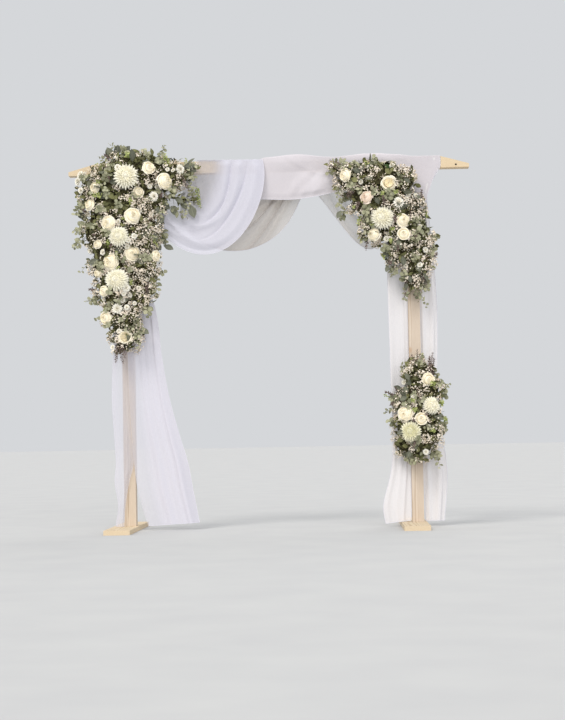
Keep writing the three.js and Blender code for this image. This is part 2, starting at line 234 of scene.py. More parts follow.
# How yellow each board is follows how it looks in its own light. It is partly the pine's own colour and
# partly painted light and shade: the beam and feet are painted more straw yellow, and the posts paler and
# pinker.
for name, edge, along, heart, shade in (
    ("beam", 0.0016, 0, (0.0, 0.021, -2.128), 0.9),
    ("left_post", 0.0016, 2, (0.862, 0.055, 0.0), 0.1),
    ("right_post", 0.0016, 2, (-0.83, 0.062, 0.0), 0.0),
    ("left_foot", 0.0012, 1, (0.9, 0.0, 0.06), 0.8),
    ("right_foot", 0.0012, 1, (-0.8, 0.0, 0.07), 0.7),
):
    soften(arch[name], edge, pine_finish("pine_" + name, along, heart, shade))


# Angle brackets and screws
# A pressed, zinc-plated steel angle ties each post to the beam and to its foot. Each leg takes two
# pan-head screws with a cross recess, and longer dark screws go through the timber itself.
zinc_finish, tree, shader = new_finish("zinc_plate", Metallic=1.0)
place = place_on(tree)
spangle = add_node(tree, "TexVoronoi", {"Vector": place, "Scale": 260.0}).outputs["Color"]
grey = add_node(tree, "SeparateColor", {"Color": spangle}).outputs["Red"]
paint(tree, shader, grey, (0.0, (176, 179, 183)), (1.0, (208, 210, 213)))
tree.links.new(ranged(tree, grey, 0.3, 0.46), shader.inputs["Roughness"])
raised(tree, shader, cloudy(tree, place, 900.0, 2.0), 0.0001)
for name in ("left_head_bracket", "right_head_bracket", "left_foot_bracket", "right_foot_bracket"):
    soften(arch[name], 0.0006, zinc_finish)


def make_piece(name, lot, finish, slot, *nodes):
    """A piece from its points, four-sided faces, tone and lie, riding on the frame in place of CAD nodes."""
    points, faces, tone, lie = lot
    mesh = bpy.data.meshes.new(name)
    mesh.from_pydata(points.tolist(), [], faces.tolist())
    mesh.attributes.new("tone", "FLOAT", "POINT").data.foreach_set("value", tone.astype(np.float32))
    mesh.uv_layers.new(name="lie").data.foreach_set("uv", lie[faces.ravel()].astype(np.float32).ravel())
    mesh.shade_smooth()
    mesh.materials.append(finish)
    piece = bpy.data.objects.new(name, mesh)
    scene.collection.objects.link(piece)
    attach(piece, "root")
    if nodes:
        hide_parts(*nodes)
    return piece


def grid_faces(rows, columns, loop=False):
    """Four-sided faces of a grid of points, row by row. loop joins each row's end to its start."""
    i, j = np.meshgrid(np.arange(columns if loop else columns - 1), np.arange(rows - 1))
    right = (i + 1) % columns
    corners = (j * columns + i, j * columns + right, (j + 1) * columns + right, (j + 1) * columns + i)
    return np.stack([c.ravel() for c in corners], 1)


def set_at(spot, along, facing, size=1.0):
    """The place of a part: its own X lies along one direction and its Z faces another."""
    x = Vector(along).normalized()
    z = Vector(facing)
    z = (z - x * z.dot(x)).normalized()
    if z.length < 0.5:
        z = x.orthogonal().normalized()
    axes = Matrix((x, z.cross(x), z)).transposed() * size
    return np.array(Matrix.Translation(spot) @ axes.to_4x4())


def copies(shape, places, tones=None):
    """One shape set at each of many places, as one lot."""
    points, faces, tone, lie = shape
    places = np.asarray(places, float).reshape(-1, 4, 4)
    count, each = len(places), len(points)
    if not count:
        return points[:0], faces[:0], tone[:0], lie[:0]
    spots = np.einsum("kij,nj->kni", places[:, :3, :3], points) + places[:, None, :3, 3]
    shift = (np.arange(count) * each)[:, None, None]
    own = np.zeros(count) if tones is None else np.asarray(tones)
    return (
        spots.reshape(-1, 3),
        (faces[None] + shift).reshape(-1, 4),
        (tone[None] + own[:, None]).ravel(),
        np.tile(lie, (count, 1)),
    )


SCREW_RADIUS = 0.0042
POINTS_ROUND = 24
RECESS_REACH, RECESS_DEPTH = 0.62, 0.22
head_rings = ((0.1, 0.4), (0.25, 0.42), (0.3, 0.62), (0.6, 0.56), (0.88, 0.36), (1.0, 0.12), (1.0, -0.2))
ways = np.arange(POINTS_ROUND) * math.tau / POINTS_ROUND
cross = np.where((np.arange(POINTS_ROUND) % 6) < 2, 1.0, 0.0)
screw_points = np.array([
    (r * math.cos(a), r * math.sin(a), z - (RECESS_DEPTH * c if r < RECESS_REACH else 0.0))
    for r, z in head_rings for a, c in zip(ways, cross)
]) * SCREW_RADIUS
recess_floor = [(k, k + 1, k + 2, 0) for k in range(2, POINTS_ROUND - 2, 2)]
screw_faces = np.concatenate([grid_faces(len(head_rings), POINTS_ROUND, loop=True), recess_floor])
screw_head = (screw_points, screw_faces, np.full(len(screw_points), 0.5), screw_points[:, :2] / SCREW_RADIUS)

POST_X = 0.855
POST_INSIDE, POST_BACK, BEAM_UNDER, PLANK_TOP = 0.8197, 0.0353, 2.1297, 0.0273
BRACKET_PLATE = 0.0025
screw_places = []
for side in (-1, 1):
    inside = side * POST_INSIDE
    for step in (0.019, 0.044):
        screw_places += [
            set_at((inside - side * step, 0, BEAM_UNDER - BRACKET_PLATE), (1, 0.4, 0), (0, 0, -1)),
            set_at((inside - side * BRACKET_PLATE, 0, BEAM_UNDER - step), (0, 1, 0.6), (-side, 0, 0)),
            set_at((side * POST_X, POST_BACK + BRACKET_PLATE, PLANK_TOP + step), (1, 0, 0.3), (0, 1, 0)),
            set_at((side * POST_X, POST_BACK + step, PLANK_TOP + BRACKET_PLATE), (1, 0.8, 0), (0, 0, 1)),
        ]
make_piece("bracket_screws", copies(screw_head, screw_places), zinc_finish, "zinc")

steel_finish, tree, shader = new_finish("dark_screw_steel", Metallic=1.0, Roughness=0.42)
paint(tree, shader, cloudy(tree, place_on(tree), 700.0, 3.0), (0.3, (58, 50, 44)), (0.7, (92, 84, 76)))
TIMBER_SCREW = 1.3
timber_screws = [
    set_at((-1.118, -0.0352, 2.149), (1, 0, 0.2), (0, -1, 0), TIMBER_SCREW),
    set_at((1.122, -0.0352, 2.148), (1, 0, 0.7), (0, -1, 0), TIMBER_SCREW),
]
for side in (-1, 1):
    for off in (-0.018, 0.018):
        spot = (side * POST_X + off, off, 2.2002)
        timber_screws.append(set_at(spot, (1, off * 30, 0), (0, 0, 1), TIMBER_SCREW))
make_piece("timber_screws", copies(screw_head, timber_screws), steel_finish, "zinc")


# Flower foam and straps
# Blocks of wet flower foam carry the stems, and each is bound to the timber by a ribbed nylon strap
# that closes in a small lock at the back.
foam_finish, tree, shader = new_finish("flower_foam", Roughness=0.95, Specular_IOR_Level=0.1)
place = place_on(tree)
pores = add_node(tree, "TexVoronoi", {"Vector": place, "Scale": 900.0}).outputs["Distance"]
damp = sums(tree, "MULTIPLY", cloudy(tree, place, 26.0, 4.0), 0.6)
mottle = sums(tree, "MULTIPLY_ADD", pores, 0.5, damp)
# The pores are painted darker than the foam round them, which is painted shade in their hollows. The damp
# patches are the foam's own colour.
paint(tree, shader, mottle, (0.2, (38, 58, 30)), (0.8, (86, 112, 66)))
raised(tree, shader, pores, 0.0012)

strap_finish, tree, shader = new_finish("strap_nylon", Roughness=0.42)
ribs = {"Vector": place_on(tree), "Scale": 180.0}
teeth = add_node(tree, "TexWave", ribs, bands_direction="DIAGONAL").outputs["Fac"]
# The strap is painted darker in the grooves between its ribs: painted shade.
paint(tree, shader, teeth, (0.2, (30, 40, 26)), (0.8, (46, 60, 40)))
raised(tree, shader, teeth, 0.0003)

lock_corners = np.array([(x, y, z) for z in (0, 1) for x, y in ((-1, -1), (1, -1), (1, 1), (-1, 1))], float)
lock_corners[4:, :2] *= 0.82
lock_shape = (
    lock_corners * (0.0046, 0.0038, 0.0048),
    np.array([(3, 2, 1, 0), (4, 5, 6, 7), (0, 1, 5, 4), (1, 2, 6, 5), (2, 3, 7, 6), (3, 0, 4, 7)]),
    np.full(8, 0.5),
    lock_corners[:, :2],
)
STRAP_BACK = 0.0371
strap_locks = {
    "left_beam": (-0.925, STRAP_BACK, 2.166),
    "left_post": (-0.856, STRAP_BACK, 1.735),
    "right_beam": (0.615, STRAP_BACK, 2.166),
    "right_post": (0.854, STRAP_BACK, 1.735),
    "right_low": (0.856, STRAP_BACK, 0.715),
}
lock_places = []
for name, spot in strap_locks.items():
    for part, finish in (("_foam", foam_finish), ("_strap", strap_finish)):
        arch[name + part].data.materials.clear()
        arch[name + part].data.materials.append(finish)
    lock_places.append(set_at(spot, (0, 0, 1) if "beam" in name else (1, 0, 0), (0, 1, 0)))
locks = make_piece("strap_locks", copies(lock_shape, lock_places), strap_finish, "strap")
locks.modifiers.new("eased_edges", "BEVEL").width = 0.0007


# Left curtain
# Two lengths of fine white chiffon, a little lavender in the shade, are pinned behind the flowers. They
# spread and fall in long soft folds, meet on the post's face and part low down like a tent flap.
def tone_of(tree):
    """The tone of the spot that is being coloured, which make_piece gave it."""
    return add_node(tree, "Attribute", attribute_name="tone").outputs["Fac"]


def lie_of(tree):
    """Where the spot that is being coloured lies across and along its sheet, petal or leaf."""
    return add_node(tree, "UVMap", uv_map="lie").outputs["UV"]


def chiffon(name, shaded, lit):
    """Sheer cloth of fine crossed threads, between two close colours. Its tone says how much it covers."""
    finish, tree, shader = new_finish(
        name, Roughness=0.75, Specular_IOR_Level=0.15, Sheen_Weight=0.25, Sheen_Roughness=0.5
    )
    lie = lie_of(tree)
    warp = cloudy(tree, stretched(tree, lie, (1500.0, 55.0, 1.0)), 1.0, 1.0)
    weft = cloudy(tree, stretched(tree, lie, (60.0, 1600.0, 1.0)), 1.0, 1.0)
    weave = sums(tree, "MULTIPLY_ADD", weft, 0.5, sums(tree, "MULTIPLY", warp, 0.5))
    paint(tree, shader, weave, (0.35, shaded), (0.65, lit))
    cover = sums(tree, "MULTIPLY_ADD", sums(tree, "SUBTRACT", weave, 0.5), 0.2, tone_of(tree))
    tree.links.new(ranged(tree, cover, 0.3, 1.0), shader.inputs["Alpha"])
    raised(tree, shader, weave, 0.0003)
    return finish


white_chiffon = chiffon("white_chiffon", (204, 202, 212), (214, 212, 220))

hem_finish, tree, shader = new_finish("rolled_hem", Roughness=0.75, Sheen_Weight=0.3)
stitches = {"Vector": lie_of(tree), "Scale": 160.0}
stitch = add_node(tree, "TexWave", stitches, bands_direction="Y").outputs["Fac"]
# The hem is painted darker in the hollows between its stitches: painted shade.
paint(tree, shader, stitch, (0.2, (216, 215, 226)), (0.8, (232, 231, 238)))
raised(tree, shader, stitch, 0.0003)

FRONT = -38.3
HEM = 29
HEM_RADIUS = 0.0013
BEAM_TOP = 2.2
LAP_ROWS = 8


def hanging_line(*points):
    """A smooth line through points in millimetres, as cloth hangs between its pins."""
    p = np.array(points, float) / 1000
    p = np.concatenate([[2 * p[0] - p[1]], p, [2 * p[-1] - p[-2]]])

    def at(t):
        t = np.clip(t, 0, 1) * (len(p) - 3)
        k = np.minimum(t.astype(int), len(p) - 4)
        w = (t - k)[:, None]
        a, b, c, d = p[k], p[k + 1], p[k + 2], p[k + 3]
        ab, bc, cd = (np.linalg.norm(q, axis=1, keepdims=True) ** 0.5 for q in (b - a, c - b, d - c))
        start = ((b - a) / ab - (c - a) / (ab + bc) + (c - b) / bc) * bc
        end = ((c - b) / bc - (d - b) / (bc + cd) + (d - c) / cd) * bc
        return b + w * start + w**2 * (3 * (c - b) - 2 * start - end) + w**3 * (2 * (b - c) + start + end)

    return at


def smooth(value, low, high):
    """From 0 at low to 1 at high, with soft ends."""
    share = np.clip((value - low) / (high - low), 0, 1)
    return share * share * (3 - 2 * share)


def ridges(across, down, count, seed, wander=0.05):
    """Height, -1 to 1, of uneven folds down the cloth: each has a steeper side, and some fade out."""
    draw = np.random.default_rng(seed)
    height = np.zeros_like(across)
    for k in range(count):
        sway = np.sin(down * draw.uniform(1.5, 4.0) + draw.uniform(0, 6.3)) * (0.3 + down)
        beside = across - (k + 0.5 + draw.uniform(-0.38, 0.38)) / count - wander * sway
        soft, steep = draw.uniform(0.42, 0.75) / count, draw.uniform(0.16, 0.36) / count
        if draw.uniform() < 0.5:
            soft, steep = steep, soft
        tall = draw.uniform(0.45, 1.0)
        if k % 3 == 1:
            start = draw.uniform(0.0, 0.5)
            tall = tall * smooth(down, start, start + 0.35)
        height = height + tall * np.exp(-np.abs(beside / np.where(beside > 0, soft, steep)) ** 1.7)
    return 2 * np.clip(height, 0, 1.15) - 1


def sheet_out(points):
    """Which way each point of a sheet faces, one metre long."""
    out = np.cross(np.gradient(points, axis=1), np.gradient(points, axis=0))
    return out / (np.linalg.norm(out, axis=2, keepdims=True) + 1e-12)


def cloth_lot(points, cover, flat):
    """A sheet's points in rows, with its cover from 0 sheer to 1 dense: cloth seen edge-on covers more."""
    u, v = np.meshgrid(np.linspace(0, 1, points.shape[1]), np.linspace(0, 1, points.shape[0]))
    cover = np.clip(cover + 0.5 * (1 - np.abs(sheet_out(points)[..., 1])), 0, 1)
    lie = np.stack([u * flat[0], v * flat[1]], 2).reshape(-1, 2)
    return points.reshape(-1, 3), grid_faces(*points.shape[:2]), cover.ravel(), lie


def tube(path, radius, sides=5, taper=1.0):
    """A round strand along a path of points. taper is its end's share of the radius."""
    path = np.asarray(path, float)
    run = np.gradient(path, axis=0)
    run /= np.linalg.norm(run, axis=1, keepdims=True) + 1e-12
    spare = np.where(np.abs(run[:, 2:3]) < 0.8, (0.0, 0.0, 1.0), (1.0, 0.0, 0.0))
    one = np.cross(run, spare)
    one /= np.linalg.norm(one, axis=1, keepdims=True) + 1e-12
    two = np.cross(run, one)
    ways = np.arange(sides) * math.tau / sides
    thick = (radius * np.linspace(1, taper, len(path)))[:, None, None]
    ring = np.cos(ways)[None, :, None] * one[:, None] + np.sin(ways)[None, :, None] * two[:, None]
    points = (path[:, None] + thick * ring).reshape(-1, 3)
    gone = np.concatenate([[0], np.cumsum(np.linalg.norm(np.diff(path, axis=0), axis=1))])
    lie = np.stack([np.tile(np.arange(sides) / sides, len(path)), np.repeat(gone, sides)], 1)
    return points, grid_faces(len(path), sides, loop=True), np.full(len(points), 0.5), lie


def join_up(parts):
    """Several lots of (points, faces, tone, lie) as one lot."""
    parts = [part for part in parts if len(part[0])]
    starts = np.cumsum([0] + [len(part[0]) for part in parts[:-1]])
    return (
        np.concatenate([part[0] for part in parts]),
        np.concatenate([part[1] + start for part, start in zip(parts, starts)]),
        np.concatenate([part[2] for part in parts]),
        np.concatenate([part[3] for part in parts]),
    )


def sew(name, points, cover, finish, node, flat, hems):
    """Makes a sheet and its rolled hems: a and b run down its sides, s and e along its start and end."""
    piece = make_piece(name, cloth_lot(points, cover, flat), finish, "chiffon", node)
    lines = {"a": points[:, 0], "b": points[:, -1], "s": points[0], "e": points[-1]}
    rolled = join_up([tube(lines[side], HEM_RADIUS) for side in hems])
    hem = make_piece(name + "_hem", rolled, hem_finish, "chiffon", node)


def stretched_between(edge_a, edge_b, size, relief, lap=0.0):
    """Points of a sheet between two edge lines, and their u and v. relief gives metres towards the guests,
    and lap is how far its start lies back over the beam's top."""
    u, v = np.meshgrid(np.linspace(0, 1, size[0] + 1), np.linspace(0, 1, size[1] + 1))
    start, end = edge_a(v[:, 0])[:, None], edge_b(v[:, 0])[:, None]
    points = start + (end - start) * u[..., None]
    out = sheet_out(points)
    out *= -np.sign(out[..., 1:2] + 1e-9)
    points = points + out * relief(u, v)[..., None]
    if lap:
        back = np.linspace(lap, 0, LAP_ROWS + 1)[:-1, None]
        over = np.repeat(points[:1], LAP_ROWS, axis=0)
        over[..., 1] += back
        waves = 0.003 * np.sin(50 * u[:LAP_ROWS] + 9 * back / lap)
        over[..., 2] = np.maximum(np.maximum(over[..., 2], BEAM_TOP + 0.0035) + waves, BEAM_TOP + 0.002)
        points = np.concatenate([over, points])
        u, v = np.concatenate([u[:LAP_ROWS], u]), np.concatenate([v[:1] * np.ones((LAP_ROWS, 1)), v])
    return points, u, v


def against_post(points):
    """Keeps cloth in front of a post's face."""
    over = (np.abs(np.abs(points[..., 0]) - POST_X) < 0.04) & (points[..., 1] < 0)
    points[..., 1] = np.where(over, np.minimum(points[..., 1], -0.0372), points[..., 1])
    return points


def long_folds(count, seed, shallow, deep, opens):
    """Relief of a hanging length whose folds deepen downwards, with finer creases between them."""
    return lambda u, v: (
        (shallow + (deep - shallow) * smooth(v, *opens)) * ridges(u, v, count, seed)
        + 0.0005 * ridges(u, v, 3 * count, seed + 1, 0.03)
    )


right_half_folds = long_folds(4, 11, 0.004, 0.015, (0.3, 0.8))
points, u, v = stretched_between(
    hanging_line(
        (-887, FRONT, 2190), (-886, FRONT, 1650), (-862, FRONT, 1340), (-858, FRONT - 2, 1017),
        (-851, FRONT - 6, 780), (-838, FRONT - 9, 560), (-826, FRONT - 12, 400), (-805, -58, 242),
        (-744, -64, HEM),
    ),
    hanging_line(
        (-823, FRONT, 2190), (-824, FRONT, 1650), (-693, FRONT, 1340), (-651, FRONT, 1017),
        (-611, -32, 780), (-554, -26, 560), (-508, -20, 400), (-480, -14, 242), (-444, -8, 42),
    ),
    (72, 126), lambda u, v: (0.15 + 0.85 * smooth(u, 0.1, 0.4)) * right_half_folds(u, v),
)
over_post = (1 - smooth(u, 0.12, 0.42)) * smooth(v, 0.3, 0.5)
sew(
    "left_curtain_right_half", against_post(points), 0.84 + 0.08 * ridges(u, v, 4, 11) - 0.5 * over_post,
    white_chiffon, "left_curtain_inner", (0.21, 2.2), "be",
)
points, u, v = stretched_between(
    hanging_line(
        (-922, FRONT, 1330), (-945, FRONT, 1017), (-953, FRONT - 2, 780), (-942, FRONT - 4, 560),
        (-934, FRONT - 6, 400), (-942, FRONT - 12, 290), (-922, -60, 150), (-938, -66, HEM),
    ),
    hanging_line(
        (-863, FRONT - 1, 1330), (-859, FRONT - 3, 1017), (-852, FRONT - 7, 780), (-840, FRONT - 10, 560),
        (-829, FRONT - 13, 400), (-856, FRONT - 17, 290), (-880, -63, 150), (-888, -66, HEM),
    ),
    (34, 84), long_folds(2, 23, 0.003, 0.008, (0.2, 0.9)),
)
sew(
    "left_curtain_left_half", against_post(points),
    0.5 + 0.12 * ridges(u, v, 2, 23) - 0.22 * smooth(u, 0.15, 0.5),
    white_chiffon, "left_curtain_outer", (0.1, 1.3), "ae",
)


# Main swag
# Chiffon thrown over the beam swings down to the left behind the flowers. Its right side is gathered
# into deep folds, and its left side stays one sheer layer in front of the beam.
def swung_line(*points):
    """A swag's edge from four points in millimetres: it leaves the first towards the second."""
    a, b, c, d = np.array(points, float) / 1000

    def at(t):
        t = np.clip(t, 0, 1)[:, None]
        return (1 - t) ** 3 * a + 3 * t * (1 - t) ** 2 * b + 3 * t**2 * (1 - t) * c + t**3 * d

    return at


def folds(u, v, *lines):
    """Rise in metres of a swag's folds. A line says where a fold's top lies across the cloth and how high it
    stands, both at five even steps down the cloth, and how far its left and its right side reach."""
    steps = np.linspace(0, 1, 5)
    lift = np.zeros_like(u)
    for tops, rises, left, right in lines:
        beside = u - np.polyval(np.polyfit(steps, tops, 4), v)
        slope = np.exp(-np.abs(beside / np.where(beside > 0, right, left)) ** 1.6)
        lift = lift + np.interp(v, steps, rises) * slope
    return lift


# The swag is the same chiffon as the curtain, painted a little darker and bluer: painted shade and a painted
# sky reflection.
swag_shade_chiffon = chiffon("swag_shade_chiffon", (197, 196, 207), (207, 206, 216))
MAIN_FOLDS = (
    ((0.46, 0.465, 0.515, 0.48, 0.36), (0.012, 0.014, 0.01, 0.004, 0.003), 0.11, 0.05),
    ((0.65, 0.635, 0.665, 0.575, 0.42), (0.014, 0.016, 0.012, 0.007, 0.004), 0.07, 0.055),
    ((0.87, 0.865, 0.885, 0.845, 0.42), (0.015, 0.017, 0.014, 0.012, 0.006), 0.09, 0.085),
)
MAIN_CREASES = (
    ((0.53, 0.535, 0.59, 0.585, 0.5), (-0.005, -0.012, -0.008, 0.0, 0.0), 0.02, 0.012),
    ((0.755, 0.72, 0.735, 0.79, 0.7), (-0.004, -0.011, -0.009, -0.002, 0.0), 0.02, 0.012),
    ((1.0, 0.98, 0.96, 0.95, 0.85), (0.0, 0.0, -0.003, -0.01, -0.003), 0.05, 0.03),
)


def main_relief(u, v):
    """Rise of the main swag's folds, creases and fine wrinkles, which begin below the beam's edge."""
    wrinkles = 0.0014 * ridges(u, v, 15, 6, 0.06)
    return smooth(v, 0.0, 0.08) * (
        folds(u, v, *MAIN_FOLDS, *MAIN_CREASES) + wrinkles + 0.003 * np.sin(5 * u + 4 * v)
    )


points, u, v = stretched_between(
    swung_line((-420, FRONT - 16, 2206), (-450, -66, 2110), (-540, -70, 2050), (-640, -66, 2030)),
    swung_line((-32, FRONT - 8, 2202), (40, -120, 1952), (-242, -130, 1376), (-640, -80, 1762)),
    (130, 104), main_relief, lap=0.075,
)
thin_edge = 0.2 * smooth(u, 0.9, 0.97) * smooth(v, 0.5, 0.7)
sew(
    "main_swag_cloth", points,
    0.14 + 0.64 * smooth(u - 0.12 * v, 0.2, 0.46) + 4 * folds(u, v, *MAIN_FOLDS) - thin_edge,
    swag_shade_chiffon, "main_swag", (0.42, 0.92), "ab",
)


# Rear swag
# The same cloth's second lap hangs behind the beam in a lower, sheerer loop. It is pinned along the
# beam's back, and its weight pulls it into crisp creases.
BACK = 38.3
# The rear lap is the same chiffon, painted darker and warmer than the front: painted shade behind the beam,
# warmed by painted light coming through it.
rear_shade_chiffon = chiffon("rear_shade_chiffon", (196, 189, 182), (208, 202, 195))
REAR_FOLDS = (
    ((0.5, 0.5, 0.52, 0.5, 0.45), (0.006, 0.014, 0.014, 0.008, 0.004), 0.1, 0.05),
    ((-0.5, 0.06, 0.62, 0.06, -0.5), (0.006, 0.016, 0.02, 0.016, 0.006), 0.12, 0.07),
    ((-0.18, 0.37, 0.92, 0.37, -0.18), (0.008, 0.02, 0.022, 0.02, 0.008), 0.13, 0.08),
    ((0.2, 0.76, 1.3, 0.76, 0.2), (0.01, 0.022, 0.02, 0.02, 0.01), 0.17, 0.16),
)
REAR_CREASES = (
    ((-0.34, 0.21, 0.76, 0.21, -0.34), (0.0, -0.012, -0.014, -0.01, 0.0), 0.04, 0.03),
    ((0.0, 0.54, 1.08, 0.54, 0.0), (0.0, -0.014, -0.014, -0.012, 0.0), 0.045, 0.035),
)
points, u, v = stretched_between(
    swung_line((320, BACK, 2186), (100, BACK, 2180), (-240, BACK, 2180), (-500, BACK, 2186)),
    swung_line((188, BACK + 8, 1974), (24, 90, 1522), (-508, 100, 1640), (-540, BACK + 8, 1900)),
    (90, 100),
    lambda u, v: smooth(u, 0.0, 0.3) * smooth(v, 0, 0.1) * (
        folds(u, v, *REAR_FOLDS, *REAR_CREASES) + 0.0008 * ridges(u, v, 15, 9, 0.05)),
)
sew(
    "rear_swag_cloth", points,
    0.42 + 14 * folds(u, v, *REAR_FOLDS) - 22 * folds(u, v, *REAR_CREASES) + 0.2 * smooth(u, 0.95, 1.0),
    rear_shade_chiffon, "rear_swag", (0.42, 1.05), "b",
)


# Side swag
# A short length of the same sheer chiffon hangs in one loop behind the beam. It is pinned along the
# beam's back and fills the corner behind the right-hand flowers.
SIDE_FOLDS = (
    ((0.1, 0.32, 0.5, 0.4, 0.3), (0.006, 0.012, 0.014, 0.01, 0.006), 0.1, 0.06),
    ((0.4, 0.56, 0.72, 0.62, 0.5), (0.008, 0.014, 0.018, 0.012, 0.008), 0.09, 0.06),
    ((0.7, 0.86, 0.96, 0.86, 0.74), (0.008, 0.014, 0.014, 0.012, 0.008), 0.09, 0.08),
)
points, u, v = stretched_between(
    swung_line((340, BACK, 2186), (460, BACK, 2180), (580, BACK, 2170), (690, BACK, 2150)),
    swung_line((296, BACK + 8, 1992), (436, 60, 1824), (602, 70, 1497), (690, BACK + 8, 1760)),
    (60, 72),
    lambda u, v: smooth(u, 0.0, 0.3) * (folds(u, v, *SIDE_FOLDS) + 0.0014 * ridges(u, v, 13, 32, 0.05)),
)
# The side swag carries the rear lap's painted shade and warmth.
sew(
    "side_swag_cloth", points, 0.2 + 14 * folds(u, v, *SIDE_FOLDS) + 0.2 * smooth(u, 0.95, 1.0),
    rear_shade_chiffon, "side_swag", (0.34, 0.55), "ab",
)


# Beam wrap
# A long piece of chiffon is bunched along the front and top of the beam. It puffs up at the corner, and
# short creases slant up from its lower edge where it is pulled. Its right-hand end falls over the beam
# as a loose corner, and the right drape carries on from there.
WRAP_RIGHT, WRAP_LEFT = 1.028, -0.066
WRAP_HEM, WRAP_HEM_RISE = 1.962, 0.07
WRAP_TOP = 2.2025
CORNER_FROM = 0.84
FRONT_SHARE = 0.74
u, v = np.meshgrid(np.linspace(0, 1, 73), np.linspace(0, 1, 169))
x = WRAP_RIGHT + (WRAP_LEFT - WRAP_RIGHT) * v
level_hem = WRAP_HEM + WRAP_HEM_RISE * x - 0.014 * np.sin(9 * x)
corner_steps = (CORNER_FROM, 0.88, 0.935, 0.947, 0.98, 1.0, 1.027)
corner_hem = np.interp(x, corner_steps, (2.007, 1.93, 1.9, 1.965, 2.052, 2.098, 2.136))
hem_height = np.where(x > CORNER_FROM, corner_hem, level_hem)
up = np.clip(u / FRONT_SHARE, 0, 1)
over = np.clip((u - FRONT_SHARE) / (1 - FRONT_SHARE), 0, 1)
bend = smooth(u, FRONT_SHARE - 0.09, FRONT_SHARE + 0.09)
puff = 0.024 * np.sin(math.pi * np.clip((u - 0.5) / 0.45, 0, 1)) * (0.55 + 0.45 * np.sin(17 * v + 1.2))
puff = puff * (1 - 0.4 * smooth(x, 0.3, 0.5)) * (1 - 0.95 * smooth(x, CORNER_FROM, 0.98))
swells = np.sin(9 * v + 2.2 * u + 0.6) * np.sin(4.1 * u + 3 * v)
slants = ridges(v * 1.5 - 0.5 * u + 0.06 * np.sin(6 * u), u, 7, 14, 0.05)
pulls = 0.0
for start, low in ((0.775, 0.04), (0.715, 0.02), (0.83, 0.12)):
    run = start - v
    crease = np.exp(-(((u - low) - 2.6 * run) / 0.13) ** 2)
    pulls = pulls + crease * smooth(run, 0, 0.03) * (1 - smooth(run, 0.1, 0.2))
tucked = 1 - smooth(x, -0.06, -0.01)
uneven = 0.004 * (swells + 1) + 0.001 * (slants + 1) + 0.009 * pulls
lift = 0.004 + 0.6 * puff + smooth(u, 0.0, 0.12) * uneven
lift = lift * (1 - tucked) * (1 - 0.85 * smooth(x, 0.78, 0.88)) + 0.0006 * tucked
lift = lift * (1 - 0.92 * smooth(over, 0.45, 0.9))
crest = np.sin(math.pi * np.clip((u - 0.6) / 0.28, 0, 1))
points = np.stack([
    x,
    -0.0382 + over * 0.073 - lift * (1 - bend),
    WRAP_TOP - 0.001 * tucked - (WRAP_TOP - hem_height) * (1 - up) + lift * bend + 0.5 * lift * crest,
], 2)
wrap_chiffon = chiffon("wrap_chiffon", (204, 199, 204), (214, 209, 213))
sew(
    "beam_wrap_cloth", points, 0.86 + 0.05 * swells + 0.03 * slants,
    wrap_chiffon, "beam_wrap", (0.34, 1.1), "ase",
)


# Right drape
# The drape falls in two narrow lengths, one on each side of the bare post, and each flares at the
# floor. The inner one comes from behind the beam, and the outer one from the wrap's loose corner.
# The drape is the same chiffon, painted lighter than the other lengths: painted light.
drape_lit_chiffon = chiffon("drape_lit_chiffon", (216, 213, 215), (226, 223, 223))
points, u, v = stretched_between(
    hanging_line(
        (704, BACK, 2190), (702, BACK, 2060), (700, -10, 1570), (708, -22, 898), (706, -24, 365),
        (650, -40, 118), (662, -44, 20),
    ),
    hanging_line(
        (812, BACK, 2190), (812, BACK, 2060), (817, -10, 1570), (818, -22, 898), (818, -24, 365),
        (817, -36, 150), (812, -44, 36),
    ),
    (48, 120), long_folds(3, 41, 0.002, 0.009, (0.3, 0.85)),
)
sew(
    "right_drape_left_half", points, 0.8 + 0.1 * ridges(u, v, 3, 41),
    drape_lit_chiffon, "right_drape_inner", (0.14, 2.2), "abe",
)
points, u, v = stretched_between(
    hanging_line(
        (868, FRONT, 2190), (869, FRONT, 2135), (878, FRONT, 2050), (893, FRONT, 1960),
        (893, -14, 1850), (892, -12, 1340), (892, -12, 700), (893, -12, 300), (900, -20, 32),
    ),
    hanging_line(
        (1030, FRONT, 2190), (1027, FRONT, 2135), (980, FRONT, 2050), (947, FRONT, 1960),
        (956, -14, 1850), (993, -10, 1340), (988, -6, 700), (1034, -2, 330), (1012, -10, 32),
    ),
    (46, 126), long_folds(3, 52, 0.002, 0.008, (0.3, 0.85)),
)
sew(
    "right_drape_right_half", points, 0.8 + 0.1 * ridges(u, v, 3, 52),
    drape_lit_chiffon, "right_drape_outer", (0.125, 2.2), "abe",
)


# Blooms
# Cream garden roses with a green-yellow throat and spiky chrysanthemums are fresh cut flowers. Each is
# pushed by its stem into the foam, to face out of the arrangement.
def blade_grid(rows, columns):
    """A petal's or leaf's grid: s runs from its base at 0 to its tip at 1, and t across it from -1 to 1."""
    return np.meshgrid(np.linspace(0, 1, rows), np.linspace(-1, 1, columns), indexing="ij")


def blade_lot(s, t, tone, *axes):
    """A petal or leaf as one lot, from its grid, its tone and its x, y and z."""
    lie = np.stack([t * 0.5 + 0.5, s], 2).reshape(-1, 2)
    return np.stack(axes, 2).reshape(-1, 3), grid_faces(*s.shape), tone.ravel().copy(), lie


def petal(long, wide, cup, curl, rows, columns, point):
    """A petal that lies along X from its base: cup lifts its sides, and curl bends its tip down."""
    s, t = blade_grid(rows, columns)
    swell = 0.25 + 0.75 * np.sin(math.pi * np.clip(s * 0.62, 0, 0.5))
    profile = swell * (1 - 0.97 * s ** (6 - 4 * point)) ** 0.5
    rise = cup * wide * t**2 * profile - curl * long * s**2.4
    return blade_lot(s, t, s, long * s * (1 - 0.1 * t**2 * s), wide * 0.5 * profile * t, rise)


